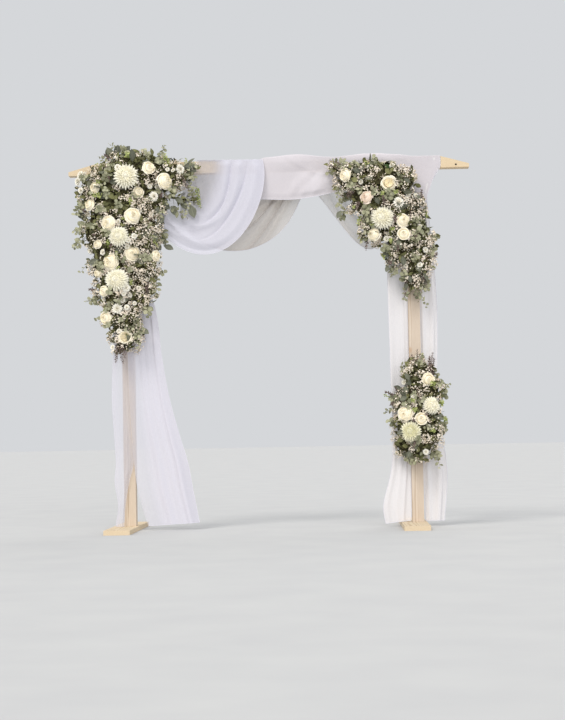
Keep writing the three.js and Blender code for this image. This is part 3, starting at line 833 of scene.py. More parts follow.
def flower_head(whorls, seed, ruffle=0.05):
    """Petals in rings round +Z. A ring is its count, lift in degrees, length, width, cup, curl, offset and
    height, how pointed its petals are, and their rows and columns of points."""
    draw = np.random.default_rng(seed)
    parts = []
    for ring, (count, lift, long, wide, cup, curl, off, rise, point, grid) in enumerate(whorls):
        start = draw.uniform(0, math.tau)
        for k in range(count):
            size = (long * draw.uniform(0.92, 1.06), wide * draw.uniform(0.9, 1.1))
            points, faces, along, lie = petal(*size, cup, curl, *grid, point)
            points[:, 2] += ruffle * along**2 * np.sin(lie[:, 0] * 9 + draw.uniform(0, 6)) * wide
            turn = start + math.tau * (k + draw.uniform(-0.16, 0.16)) / count
            tilt = math.radians(lift + draw.uniform(-6, 6))
            place = Matrix.Rotation(turn, 4, "Z") @ Matrix.Translation((off, 0, rise))
            place = place @ Matrix.Rotation(-tilt, 4, "Y")
            tones = 0.3 + 0.25 * ring / len(whorls) + 0.45 * along * (0.5 + 0.5 * ring / len(whorls))
            parts.append(copies((points, faces, tones, lie), [np.array(place)], [draw.uniform(-0.05, 0.05)]))
    return join_up(parts)


def bowl_petal(reach, flare, top, roll, span, tuck, grid):
    """A rose petal on a bowl round +Z, one side tucked in: flare opens its rim and roll turns it down."""
    s, t = blade_grid(*grid)
    past = np.clip((s - 0.6) / 0.4, 0, 1)
    out = 0.05 + (reach - 0.05) * np.sin(math.pi / 2 * np.clip(s / 0.6, 0, 1)) ** 0.9
    out = out * (1 + (flare - 1) * past**1.6) + tuck * t * s
    height = -0.55 + (top + 0.55) * s**1.15 - roll * past**3 - 0.12 * t**2 * s**2
    way = math.radians(span) * t * (0.45 + 0.55 * np.sin(math.pi / 2 * np.clip(s / 0.7, 0, 1)))
    return blade_lot(s, t, s, out * np.cos(way), out * np.sin(way), height)


def rose_head(layers, seed, grid=(8, 7)):
    """Petals wrapped round a bud. A layer is its count, reach, flare, top, roll, span in degrees and tuck,
    and each layer opens wider and stands lower than the last."""
    draw = np.random.default_rng(seed)
    parts = []
    turn = draw.uniform(0, math.tau)
    for ring, (count, reach, flare, top, roll, span, tuck) in enumerate(layers):
        turn += draw.uniform(0.7, 1.3)
        for k in range(count):
            size = draw.uniform(0.94, 1.06)
            points, faces, along, lie = bowl_petal(
                reach * size, flare * draw.uniform(0.95, 1.05), top + draw.uniform(-0.04, 0.04),
                roll * draw.uniform(0.5, 1.6), span * draw.uniform(0.92, 1.1), tuck, grid,
            )
            wave = np.sin(lie[:, 0] * draw.uniform(6, 11) + draw.uniform(0, 6)) * along**4
            points[:, 2] += 0.035 * wave
            points[:, :2] *= (1 + 0.03 * wave)[:, None]
            place = Matrix.Rotation(turn + math.tau * (k + draw.uniform(-0.12, 0.12)) / count, 4, "Z")
            place = Matrix.Rotation(math.radians(draw.uniform(-3, 3)), 4, "X") @ place
            tones = 0.15 + 0.35 * ring / len(layers) + 0.5 * along**1.5
            parts.append(copies((points, faces, tones, lie), [np.array(place)], [draw.uniform(-0.06, 0.06)]))
    return join_up(parts)


def dome(reach, height, base):
    """A closed-topped dome round +Z that petals grow from."""
    lift, way = np.meshgrid(np.linspace(0, math.pi / 2, 6), np.arange(16) * math.tau / 16, indexing="ij")
    round_off = np.stack([np.cos(lift) * np.cos(way), np.cos(lift) * np.sin(way), np.sin(lift)], 2)
    points = round_off.reshape(-1, 3) * (reach, reach, height) + (0.0, 0.0, base)
    return points, grid_faces(6, 16, loop=True), np.full(len(points), 0.55), points[:, :2]


THIN, NARROW = (5, 3), (6, 4)
rose_layers = (
    (2, 0.13, 0.4, 0.56, 0.0, 100, 0.03),
    (3, 0.24, 0.5, 0.55, 0.0, 80, 0.05),
    (3, 0.36, 0.64, 0.52, 0.0, 78, 0.06),
    (4, 0.47, 0.78, 0.46, 0.02, 62, 0.06),
    (5, 0.58, 0.94, 0.37, 0.05, 52, 0.06),
    (5, 0.68, 1.08, 0.26, 0.1, 50, 0.05),
    (6, 0.77, 1.2, 0.12, 0.16, 42, 0.05),
    (6, 0.84, 1.2, -0.06, 0.16, 42, 0.05),
)
open_rose_layers = (
    (5, 0.5, 1.12, 0.2, 0.02, 50, 0.06),
    (6, 0.66, 1.25, 0.12, 0.08, 46, 0.06),
    (6, 0.76, 1.28, -0.04, 0.12, 46, 0.06),
)
mum_rings = (
    (12, 58, 0.36, -0.12), (15, 49, 0.48, -0.1), (18, 40, 0.6, -0.06), (20, 31, 0.72, -0.02),
    (22, 21, 0.83, 0.03), (24, 11, 0.91, 0.06), (24, 1, 0.95, 0.1), (22, -12, 0.9, 0.16),
)
MUM_PETAL_WIDTH = 0.27


def mum_head(seed):
    """Narrow petals in close rings round a domed heart of short ones, from nearly upright to turned back."""
    short_ones, outer = [], []
    for k in range(6):
        long, off, rise = 0.13 + 0.025 * k, 0.01 + 0.05 * k, 0.45 - 0.02 * k * k
        short_ones.append((7 + 4 * k, 40 - 4 * k, long, 0.13, 0.4, 0.1, off, rise, 0.4, THIN))
    for k, (count, lift, long, curl) in enumerate(mum_rings):
        off, rise = 0.08 + 0.012 * k, 0.1 - 0.045 * k
        outer.append((count, lift, long, MUM_PETAL_WIDTH, 0.5, curl, off, rise, 0.42, NARROW))
    hearts = [dome(0.3, 0.36, 0.08), dome(0.66, 0.64, -0.2)]
    return join_up([flower_head(short_ones, seed), flower_head(outer, seed + 1, 0.03), *hearts])


def bloom_head(form, seed):
    """One large bloom, a unit across its radius."""
    if form == "open":
        stamens = [
            (16, 82 - 12 * k, 0.16 + 0.05 * k, 0.05, 0.3, 0.0, 0.03 + 0.03 * k, 0.0, 0.8, THIN)
            for k in range(3)
        ]
        return join_up([rose_head(open_rose_layers, seed), flower_head(stamens, seed + 1)])
    if form in ("mum", "green"):
        return mum_head(seed)
    return join_up([rose_head(rose_layers, seed), dome(0.82, 0.74, -0.32)])


def petal_finish(name, throat, middle, tip, dull=0.55):
    """A soft petal: its colour runs from throat to tip, with fine veins along its length."""
    finish, tree, shader = new_finish(
        name, Roughness=dull, Specular_IOR_Level=0.2, Sheen_Weight=0.6, Sheen_Roughness=0.6,
        Sheen_Tint=tint(255, 248, 228),
    )
    veins = cloudy(tree, stretched(tree, lie_of(tree), (26.0, 1.6, 1.0)), 1.0, 2.0)
    veined = sums(tree, "MULTIPLY_ADD", sums(tree, "SUBTRACT", veins, 0.5), 0.22, tone_of(tree))
    paint(tree, shader, veined, (0.05, throat), (0.3, middle), (0.75, tip))
    raised(tree, shader, veins, 0.0005)
    return finish


cream_petals = petal_finish("cream_petals", (251, 236, 196), (254, 244, 216), (255, 248, 228))
ivory_petals = petal_finish("ivory_petals", (255, 248, 222), (255, 251, 232), (255, 252, 236))
blush_petals = petal_finish("blush_petals", (226, 192, 160), (244, 220, 200), (250, 234, 218))
green_petals = petal_finish("green_ivory_petals", (190, 192, 128), (230, 228, 186), (246, 243, 218))
bloom_finishes = {
    "rose": cream_petals, "open": cream_petals, "blush": blush_petals,
    "mum": ivory_petals, "green": green_petals,
}

head_list = (
    ("left_top_mum", "mum", -829, -236, 2093, 74),
    ("left_corner_rose", "rose", -599, -196, 2062, 50),
    ("left_side_rose", "rose", -941, -218, 1821, 45),
    ("left_centre_rose", "rose", -790, -232, 1859, 50),
    ("left_middle_mum", "mum", -879, -236, 1738, 60),
    ("left_inner_rose", "rose", -801, -196, 1639, 50),
    ("left_lower_rose", "rose", -934, -206, 1590, 50),
    ("left_low_mum", "mum", -896, -216, 1484, 70),
    ("left_tail_rose", "open", -854, -172, 1148, 42),
    ("right_top_rose", "open", 714, -206, 2021, 46),
    ("right_blush_rose", "blush", 580, -196, 1940, 39),
    ("right_large_mum", "mum", 673, -216, 1817, 67),
    ("right_side_rose", "rose", 796, -208, 1797, 42),
    ("right_inner_rose", "rose", 618, -176, 1725, 40),
    ("low_left_rose", "rose", 782, -184, 665, 47),
    ("low_right_mum", "mum", 942, -186, 710, 53),
    ("low_green_mum", "green", 813, -196, 562, 61),
)


def outward_at(x, z):
    """Which way a flower faces at a spot in millimetres: out from its arrangement's spine. The left spine
    bends inwards over the post's top, and the right one outwards below it."""
    if x < 0:
        spine = -860 + 0.12 * max(0, z - 1900)
    elif z > 1100:
        spine = 700 + 0.45 * max(0, 1900 - z)
    else:
        spine = 865
    return Vector(((x - spine) / 260, -1, 0.1)).normalized()


for order, (name, form, x, y, z, radius) in enumerate(head_list):
    facing = outward_at(x, z)
    place = set_at(Vector((x, y, z)) / 1000, facing.cross((0.2, 0, 1)), facing, radius / 1000)
    head = copies(bloom_head(form, 100 + 3 * order), [place])
    make_piece(name + "_bloom", head, bloom_finishes[form], "petals", name)


# Leaf beds
# Under everything lies a packed bed of cut leaves and moss that hides the foam and holds the sprigs. It is
# lumpy and a little smaller than the mass of leaves and flowers over it. Its dark olive and brown is painted
# shade: it stands for the shadow deep between the leaves.
bed_shade_finish, tree, shader = new_finish("leaf_bed_shade", Roughness=0.85, Specular_IOR_Level=0.15)
flakes = add_node(tree, "TexVoronoi", {"Vector": place_on(tree), "Scale": 70.0})
shadow = add_node(tree, "SeparateColor", {"Color": flakes.outputs["Color"]}).outputs["Red"]
paint(tree, shader, shadow, (0.0, (50, 44, 30)), (0.55, (80, 76, 50)), (1.0, (108, 106, 74)))
raised(tree, shader, flakes.outputs["Distance"], 0.01)

SIDES = ("left", "right", "low")
BED_GRAIN = 0.0135
BED_DEPTH, DEPTH_OVER_FOAM, DEPTH_MORE_AT_TAIL = 0.026, 0.006, 0.03
FINGER = 0.012
foams = [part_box(name + "_foam") for name in strap_locks]


def at_foam(spot):
    """Whether a spot lies in a block of flower foam or within a finger's width of it."""
    return any(all(low[i] - FINGER < spot[i] < high[i] + FINGER for i in range(3)) for low, high in foams)


def leaf_bed_shade(name, node):
    """A foliage solid made finer, sunk below its own skin and roughened."""
    mesh = arch[node].data.copy()
    mesh.name = name
    piece = bpy.data.objects.new(name, mesh)
    scene.collection.objects.link(piece)
    finer = piece.modifiers.new("finer", "REMESH")
    finer.mode, finer.voxel_size = "VOXEL", BED_GRAIN
    bpy.context.view_layer.update()
    fine = bpy.data.meshes.new_from_object(piece.evaluated_get(bpy.context.evaluated_depsgraph_get()))
    piece.modifiers.clear()
    piece.data = fine
    fine.name = name
    faces = [tuple(face.vertices) for face in fine.polygons]
    inside = BVHTree.FromPolygons([vertex.co.copy() for vertex in fine.vertices], faces)
    moved = []
    for vertex in fine.vertices:
        thick = inside.ray_cast(vertex.co - vertex.normal * 0.002, -vertex.normal)[3] or 0.2
        at_tail = 1 - smooth(vertex.co.z, 1.05, 1.18) if node == "left_foliage" else 0.0
        depth = min(BED_DEPTH + DEPTH_MORE_AT_TAIL * at_tail, 0.42 * thick)
        if at_foam(vertex.co - vertex.normal * depth):
            depth = DEPTH_OVER_FOAM
        lumps = (noise(vertex.co * 38) * 0.5 + noise(vertex.co * 90) * 0.25) * depth
        moved.append(vertex.co + vertex.normal * (lumps - depth))
    for vertex, spot in zip(fine.vertices, moved):
        vertex.co = spot
    fine.materials.clear()
    fine.materials.append(bed_shade_finish)
    fine.shade_smooth()
    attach(piece, "root")
    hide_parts(node)


for side in SIDES:
    leaf_bed_shade(side + "_leaf_bed_shade", side + "_foliage")


# Spray roses and button blooms
# Small garden roses and button chrysanthemums fill in between the large heads. Their stems are cut
# short, and each head stands just proud of the leaves.
white_petals = petal_finish("white_petals", (254, 245, 210), (255, 250, 233), (255, 252, 241))
spray_rose_layers = (
    (3, 0.22, 0.45, 0.54, 0.0, 80, 0.05),
    (4, 0.4, 0.75, 0.5, 0.02, 64, 0.06),
    (5, 0.6, 1.05, 0.36, 0.06, 50, 0.05),
    (6, 0.78, 1.22, 0.12, 0.16, 42, 0.05),
)
button_whorls = (
    (8, 76, 0.4, 0.24, 0.5, 0.0, 0.02, 0.05, 0.5, THIN),
    (11, 54, 0.6, 0.32, 0.45, 0.05, 0.06, 0.0, 0.5, THIN),
    (13, 32, 0.8, 0.38, 0.35, 0.12, 0.08, -0.06, 0.45, THIN),
    (14, 10, 0.92, 0.42, 0.3, 0.16, 0.08, -0.12, 0.45, THIN),
)
rose_shapes = [
    join_up([rose_head(spray_rose_layers, 320 + k, (6, 6)), dome(0.78, 0.7, -0.32)]) for k in range(3)
]
button_shapes = [flower_head(button_whorls, 300 + k) for k in range(3)]
small_heads = {
    "left": (
        (-701, 2138, 41, "rose"), (-519, 2128, 33, "button"), (-1010, 2031, 40, "rose"),
        (-1091, 2105, 30, "button"), (-1108, 2068, 30, "button"), (-1092, 2014, 23, "button"),
        (-1040, 1928, 42, "rose"), (-764, 1996, 36, "rose"), (-675, 1969, 34, "button"),
        (-790, 1738, 21, "button"), (-669, 1621, 35, "rose"), (-999, 1525, 30, "rose"),
        (-843, 1434, 30, "button"), (-966, 1416, 34, "rose"), (-859, 1358, 20, "button"),
        (-893, 1312, 36, "button"), (-835, 1316, 21, "button"), (-958, 1259, 42, "rose"),
        (-917, 1083, 18, "button"), (-879, 2146, 22, "button"), (-1069, 2110, 18, "button"),
        (-695, 2029, 18, "button"), (-658, 2022, 17, "button"), (-821, 1711, 18, "button"),
        (-999, 1695, 30, "rose"), (-855, 1400, 18, "button"), (-818, 1385, 17, "button"),
        (-793, 1340, 16, "button"),
    ),
    "right": (
        (466, 2072, 43, "rose"), (768, 1901, 37, "button"), (797, 1717, 40, "rose"),
        (864, 1940, 18, "button"), (887, 1531, 20, "button"), (700, 1690, 22, "button"),
        (560, 2030, 20, "button"),
    ),
    "low": (
        (917, 865, 40, "rose"), (878, 634, 40, "rose"), (835, 760, 19, "button"), (898, 440, 21, "button"),
    ),
}
scattered_buttons = {"left": 36, "right": 24, "low": 12}
BUTTON_RADII = (0.013, 0.021)


def skin_of(node):
    """A foliage solid's triangles, their outward normals and areas, and a tree for finding its skin."""
    mesh = arch[node].data
    mesh.calc_loop_triangles()
    spots = np.array([v.co for v in mesh.vertices])
    corners = spots[np.array([t.vertices for t in mesh.loop_triangles])]
    normals = np.cross(corners[:, 1] - corners[:, 0], corners[:, 2] - corners[:, 0])
    area = np.linalg.norm(normals, axis=1)
    faces = [tuple(t.vertices) for t in mesh.loop_triangles]
    finder = BVHTree.FromPolygons([tuple(spot) for spot in spots], faces)
    return corners, normals / (area[:, None] + 1e-12), area, finder


skins = {side: skin_of(side + "_foliage") for side in SIDES}


def add_to(side, kind, lot, finish, slot="foliage"):
    """Adds one kind of flower, leaf or stem to an arrangement, in place of its foliage solid."""
    make_piece(side + "_" + kind, lot, finish, slot, side + "_foliage")


def seat(side, x, z):
    """The spot on an arrangement's skin where a flower shows, from its place in millimetres. Past the
    skin's edge, it is a hand's width in front of the timber."""
    aim = Vector((x / 1000, -0.2, z / 1000)) - eye
    hit = skins[side][3].ray_cast(eye, aim)[0]
    return hit if hit is not None else eye + aim * (1 + 0.1 / aim.length)


def spots_on(side, count, draw, front=0.75, region=None):
    """Random spots on an arrangement's skin, with their outward directions. front is the share kept to its
    front, and region says how thick they stand. None lie at the left tail's end, and few beside the
    right tail."""
    corners, normals, area = skins[side][:3]
    middle = corners.mean(1)
    weight = area * np.where(normals[:, 1] < 0.25, 1.0, 1 - front)
    weight = weight * np.where(middle[:, 1] > -0.045, 0.35, 1.0)
    if side == "left":
        weight = weight * smooth(middle[:, 2], 1.05, 1.15)
    if side == "right":
        beside_tail = (np.abs(middle[:, 0] - 0.87) > 0.07) & (middle[:, 2] < 1.53)
        weight = weight * np.where(beside_tail, 0.2, 1.0)
    if region is not None:
        weight = weight * region(middle)
    picked = draw.choice(len(corners), count, p=weight / weight.sum())
    a, b = draw.uniform(0, 1, (2, count, 1))
    a, b = np.where(a + b > 1, 1 - a, a), np.where(a + b > 1, 1 - b, b)
    tri = corners[picked]
    spots = tri[:, 0] + a * (tri[:, 1] - tri[:, 0]) + b * (tri[:, 2] - tri[:, 0])
    return [(Vector(spot), Vector(out)) for spot, out in zip(spots, normals[picked])]


heads = {side: [] for side in SIDES}
for name, form, x, y, z, radius in head_list:
    heads[name.split("_")[0]].append((x / 1000, y / 1000, z / 1000, radius / 1000))
for order, side in enumerate(SIDES):
    draw = np.random.default_rng(1100 + order)
    places = {"rose": [], "button": []}
    for x, z, radius, kind in small_heads[side]:
        facing = (outward_at(x, z) + Vector(draw.normal(0, 0.12, 3))).normalized()
        spot = seat(side, x, z) + facing * 0.014
        places[kind].append(set_at(spot, facing.cross((0.2, 0, 1)), facing, radius / 1000))
        heads[side].append((spot.x, spot.y, spot.z, 0.9 * radius / 1000))
    for spot, out in spots_on(side, scattered_buttons[side], draw):
        facing = (out + Vector(draw.normal(0, 0.25, 3)) + Vector((0, -0.35, 0.12))).normalized()
        along = draw.normal(0, 1, 3)
        places["button"].append(set_at(spot + facing * 0.006, along, facing, draw.uniform(*BUTTON_RADII)))
    for kind, title, shapes, finish in (
        ("rose", "spray_roses", rose_shapes, cream_petals),
        ("button", "button_blooms", button_shapes, white_petals),
    ):
        lots = []
        for k, shape in enumerate(shapes):
            own = places[kind][k::3]
            lots.append(copies(shape, own, draw.uniform(-0.05, 0.1, len(own))))
        add_to(side, title, join_up(lots), finish, "petals")


# Dark and dusty leaves
# Pointed and oval leaves lie close over the bed, dark olive on most twigs. Larger, dustier ones reach out
# beside the swags, and some of the dark ones cover the foam on the beam. The dusty leaves placed beside the
# swags are painted darker: painted shade where they fill shadowed gaps.
def leaf(wide, fold, droop, rows=6, columns=5, roundness=1.0, stalk=0.12):
    """A leaf a unit long along X, with a short stalk, a V-fold on its midrib and a drooping tip."""
    s, t = blade_grid(rows, columns)
    blade = np.clip((s - stalk) / (1 - stalk), 0.004, 0.996)
    pointed = (1 - roundness) * np.sin(math.pi * blade**0.8) ** 1.2
    profile = np.maximum(np.sqrt(1 - (2 * blade - 1) ** 2) * roundness + pointed, 0.05)
    y = wide * 0.5 * profile * t
    return blade_lot(s, t, np.full(s.shape, 0.5), s, y, fold * np.abs(y) - droop * s**2)


def leaf_finish(name, dark, pale, vein, dull):
    """A matt leaf: mottled colour that differs from leaf to leaf, a pale midrib and side veins."""
    finish, tree, shader = new_finish(name, Roughness=dull, Specular_IOR_Level=0.2)
    mottle = cloudy(tree, place_on(tree), 160.0, 3.0)
    mottled = sums(tree, "MULTIPLY_ADD", sums(tree, "SUBTRACT", mottle, 0.5), 0.5, tone_of(tree))
    colour = shades(tree, mottled, (0.1, dark), (0.9, pale))
    axes = add_node(tree, "SeparateXYZ", {"Vector": lie_of(tree)})
    off_rib = sums(tree, "ABSOLUTE", sums(tree, "SUBTRACT", axes.outputs["X"], 0.5))
    rib = ranged(tree, off_rib, 1.0, 0.0, 0.02, 0.06)
    slant = sums(tree, "MULTIPLY_ADD", off_rib, -0.7, axes.outputs["Y"])
    side_veins = sums(tree, "SINE", sums(tree, "MULTIPLY", slant, 60.0))
    lines = sums(tree, "MAXIMUM", rib, ranged(tree, side_veins, 0.0, 0.4, 0.86, 1.0))
    veined = blended(tree, sums(tree, "MULTIPLY", lines, 0.6), colour, vein)
    tree.links.new(veined, shader.inputs["Base Color"])
    raised(tree, shader, sums(tree, "MULTIPLY_ADD", lines, -0.6, mottle), 0.0006)
    return finish


def hides_a_head(spot, side):
    """Whether a spot would hide one of an arrangement's flower heads from the guests."""
    x, y, z = spot
    return any(math.hypot(x - hx, z - hz) < size and y < hy + 0.03 for hx, hy, hz, size in heads[side])


def keep_clear(places, side):
    """The places in an arrangement that hide none of its flower heads."""
    return [place for place in places if not hides_a_head(place[:3, 3], side)]


dark_leaf = leaf_finish("dark_leaf", (64, 65, 36), (131, 131, 88), (150, 150, 108), 0.6)
dusty_leaf = leaf_finish("dusty_leaf", (86, 88, 76), (132, 134, 114), (144, 146, 127), 0.62)
oval_leaf = leaf(0.6, 0.22, 0.16, roundness=0.6)
small_oval_leaf = leaf(0.62, 0.22, 0.16, columns=3, roundness=0.6)
pointed_leaf = leaf(0.44, 0.35, 0.22, columns=3, roundness=0.0)
DARK_LENGTHS, OVER_FOAM_LENGTHS, DUSTY_LENGTHS = (0.022, 0.054), (0.035, 0.055), (0.055, 0.078)
LEAVES_OVER_FOAM = 120
dark_leaf_counts = {"left": 1500, "right": 850, "low": 500}
dusty_leaf_counts = {"left": 60, "right": 40, "low": 24}
dusty_beside_swags = {
    "left": (
        (-598, 1914, 68, -40), (-551, 1883, 68, -60), (-441, 1878, 84, -72), (-649, 1886, 50, -110),
        (-629, 1817, 52, -20), (-455, 2146, 74, 6), (-438, 2120, 56, -14), (-492, 1917, 68, -55),
        (-517, 1944, 60, -35), (-619, 1713, 76, -55), (-585, 1668, 64, -20), (-638, 1780, 54, -100),
        (-1028, 1592, 66, 200), (-732, 1178, 60, -30), (-666, 1732, 58, -50), (-930, 2225, 66, 115),
        (-880, 2245, 70, 80), (-825, 2248, 62, 50),
    ),
    "right": (
        (531, 2095, 60, 150), (680, 1950, 55, -40), (768, 1660, 58, -70), (596, 2118, 34, 60),
        (420, 1840, 52, -120), (690, 1600, 60, -100), (790, 1560, 58, -80), (644, 1916, 48, -60),
        (600, 2052, 48, 20), (822, 2030, 46, -30), (744, 1648, 62, -70), (725, 1555, 50, -60),
        (803, 1410, 46, -100), (828, 1450, 46, -80), (909, 1437, 52, -60), (695, 1515, 44, -110),
    ),
    "low": (
        (760, 560, 56, 200), (980, 640, 54, -20), (800, 430, 52, -110), (745, 815, 54, 150),
        (790, 800, 52, 100), (775, 755, 50, 200), (800, 880, 50, 120),
    ),
}
foam_low, foam_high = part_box("right_beam_foam")
for order, side in enumerate(SIDES):
    draw = np.random.default_rng(1200 + order)
    places = [
        set_at(
            spot - out * draw.uniform(0.002, 0.024), Vector(draw.normal(0, 1, 3)) + out * 0.4,
            out + Vector(draw.normal(0, 0.45, 3)), draw.uniform(*DARK_LENGTHS),
        )
        for spot, out in spots_on(side, dark_leaf_counts[side], draw, front=0.5)
    ]
    for k in range(LEAVES_OVER_FOAM if side == "right" else 0):
        x, y = draw.uniform(foam_low[0], foam_high[0]), draw.uniform(foam_low[1], foam_high[1])
        spot = Vector((x, y, foam_high[2] + draw.uniform(0.0, 0.014)))
        reach = Vector((draw.normal(), draw.normal() - 0.4, 0.25)).normalized()
        places.append(set_at(spot - reach * 0.02, reach, (0, -0.3, 1), draw.uniform(*OVER_FOAM_LENGTHS)))
    places = keep_clear(places, side)
    tones = draw.uniform(-0.35, 0.4, len(places))
    half = len(places) // 2
    pointed = copies(pointed_leaf, places[:half], tones[:half])
    ovals = copies(small_oval_leaf, places[half:], tones[half:])
    add_to(side, "dark_leaves", join_up([pointed, ovals]), dark_leaf)

    places = [
        set_at(
            spot - out * 0.01, Vector(draw.normal(0, 1, 3)) + out * 0.3,
            out + Vector(draw.normal(0, 0.5, 3)), draw.uniform(*DUSTY_LENGTHS),
        )
        for spot, out in spots_on(side, dusty_leaf_counts[side], draw)
    ]
    places = keep_clear(places, side)
    for x, z, long, slope in dusty_beside_swags[side]:
        way = math.radians(slope)
        middle = seat(side, x, z) + Vector((0, -0.022, 0))
        reach = Vector((math.cos(way), -0.25, math.sin(way)))
        places.append(set_at(middle - reach * 0.0005 * long, reach, (0.1, -1, 0.35), long / 1000))
    tones = draw.uniform(-0.35, 0.35, len(places))
    # Painted shade: the leaves placed beside the swags are made darker.
    tones[-len(dusty_beside_swags[side]):] -= 0.25
    add_to(side, "dusty_leaves", copies(oval_leaf, places, tones), dusty_leaf)


# Eucalyptus
# Sprays of grey-green silver-dollar leaves grow on thin woody stems. Most tuck in among the blooms,
# and the longest stand out past the edges of each arrangement.
def stem_path(start, heading, length, droop, draw, points=8):
    """A thin stem that leaves in one direction and bends under its own weight."""
    s = np.linspace(0, 1, points)[:, None]
    bow = np.array(Vector(heading).orthogonal().normalized()) * draw.uniform(-0.12, 0.12) * length
    line = np.array(start) + np.array(heading) * length * s + bow * s**2
    line[:, 2] -= droop * length * s[:, 0] ** 2
    return line


def along_stem(path, size, count, draw, spread, start):
    """Places for leaves set alternately along a stem, smaller towards its tip and turned to the light.
    spread is how far they stand off the stem, and start is the bare share of it."""
    places = []
    runs = np.gradient(path, axis=0)
    marks = np.linspace(0, 1, len(path))
    for k in range(count):
        share = start + (1 - start) * (k + 0.5) / count
        spot = np.array([np.interp(share, marks, path[:, i]) for i in range(3)])
        run = Vector([np.interp(share, marks, runs[:, i]) for i in range(3)]).normalized()
        side_way = Matrix.Rotation(k * 2.4 + draw.uniform(-0.6, 0.6), 3, run) @ run.orthogonal().normalized()
        facing = Vector((draw.uniform(-0.5, 0.5), -1, draw.uniform(-0.2, 0.9)))
        way = (run * (1 - spread) + side_way * spread).normalized()
        places.append(set_at(spot, way, facing, size * (1.05 - 0.45 * share) * draw.uniform(0.8, 1.2)))
    return places


def toned(shape, places, draw, low=-0.4, high=0.4):
    """One leaf or blossom set at many places, each with its own tone."""
    return copies(shape, places, draw.uniform(low, high, len(places)))


eucalyptus_leaf = leaf_finish("eucalyptus_leaf", (118, 120, 94), (182, 181, 150), (192, 191, 164), 0.65)
round_leaf = leaf(0.92, 0.12, 0.1)
EUCALYPTUS_LENGTHS, SPRAY_LENGTHS = (0.028, 0.043), (0.09, 0.15)
eucalyptus_counts = {"left": 104, "right": 62, "low": 36}
long_sprays = {
    "left": (
        (-560, 2130, -415, 2160), (-570, 1990, -405, 1960), (-650, 1830, -600, 1715),
        (-620, 1930, -470, 1870), (-1060, 1980, -1150, 1900), (-1080, 1750, -1160, 1690),
        (-870, 2230, -840, 2272), (-740, 2200, -700, 2240), (-668, 1570, -664, 1400),
    ),
    "right": (
        (470, 2130, 385, 2180), (770, 1560, 715, 1500), (880, 1480, 905, 1400), (480, 1900, 425, 1830),
    ),
    "low": ((770, 720, 705, 770), (960, 600, 1020, 560), (830, 470, 800, 385), (930, 470, 970, 400)),
}
stems = {side: [] for side in SIDES}
for order, side in enumerate(SIDES):
    draw = np.random.default_rng(1300 + order)
    rounds, ovals = [], []
    for k, (spot, out) in enumerate(spots_on(side, eucalyptus_counts[side], draw, front=0.6)):
        heading = (out * 0.7 + Vector(draw.normal(0, 0.5, 3)) + Vector((0, -0.2, 0))) * Vector((0.55, 1, 1))
        heading.normalize()
        long, droop = draw.uniform(*SPRAY_LENGTHS), draw.uniform(0.0, 0.35)
        path = stem_path(spot - heading * 0.05, heading, long, droop, draw)
        stems[side].append(tube(path, 0.0011, 4, 0.5))
        kind = rounds if k % 3 else ovals
        kind += along_stem(path, draw.uniform(*EUCALYPTUS_LENGTHS), 9, draw, 0.75, 0.35)
    for x0, z0, x1, z1 in long_sprays[side]:
        start = seat(side, x0, z0) + Vector((0, 0.05, 0))
        end = Vector((x1 / 1000, start.y - 0.03, z1 / 1000))
        path = stem_path(start, (end - start).normalized(), (end - start).length, 0.06, draw, 10)
        stems[side].append(tube(path, 0.0014, 4, 0.5))
        ovals += along_stem(path, 0.046, 11, draw, 0.7, 0.3)
    rounds = toned(round_leaf, keep_clear(rounds, side), draw)
    ovals = toned(oval_leaf, keep_clear(ovals, side), draw)
    add_to(side, "eucalyptus", join_up([rounds, ovals]), eucalyptus_leaf)


# Fresh and dusky sprigs
# Short sprigs with small leaves: light yellow-green ones, and dark purplish ones whose tips stand out
# above, beside and below the flowers.
fresh_leaf = leaf_finish("fresh_leaf", (112, 126, 62), (184, 190, 122), (190, 196, 140), 0.5)
dusky_leaf = leaf_finish("dusky_leaf", (82, 68, 62), (136, 118, 112), (148, 130, 124), 0.6)
bud_leaf = leaf(0.5, 0.8, 0.0, rows=4, columns=3, roundness=0.5, stalk=0.02)
FRESH_LENGTHS, DUSKY_LENGTHS = (0.018, 0.026), (0.013, 0.019)
fresh_counts = {"left": 30, "right": 20, "low": 18}
fresh_placed = {
    "left": ((-420, 2040, -400, 1927), (-690, 1750, -640, 1685)),
    "right": ((600, 2110, 590, 2165),),
    "low": (),
}
dusky_counts = {"left": 22, "right": 18, "low": 11}
dusky_placed = {
    "left": ((-900, 1100, -915, 1010), (-880, 1090, -876, 1000), (-865, 1090, -850, 1030)),
    "right": (
        (430, 2140, 372, 2190), (450, 2110, 365, 2140), (810, 1470, 800, 1360), (850, 1480, 880, 1400),
        (900, 1480, 925, 1410),
    ),
    "low": (
        (862, 965, 857, 1052), (845, 950, 836, 1026), (868, 950, 872, 1020), (930, 900, 945, 1035),
        (935, 890, 925, 1010), (945, 880, 960, 1000),
    ),
}
sprigs_between = {"left": (1.2, 2.32), "right": (1.5, 2.04), "low": (0.48, 0.88)}


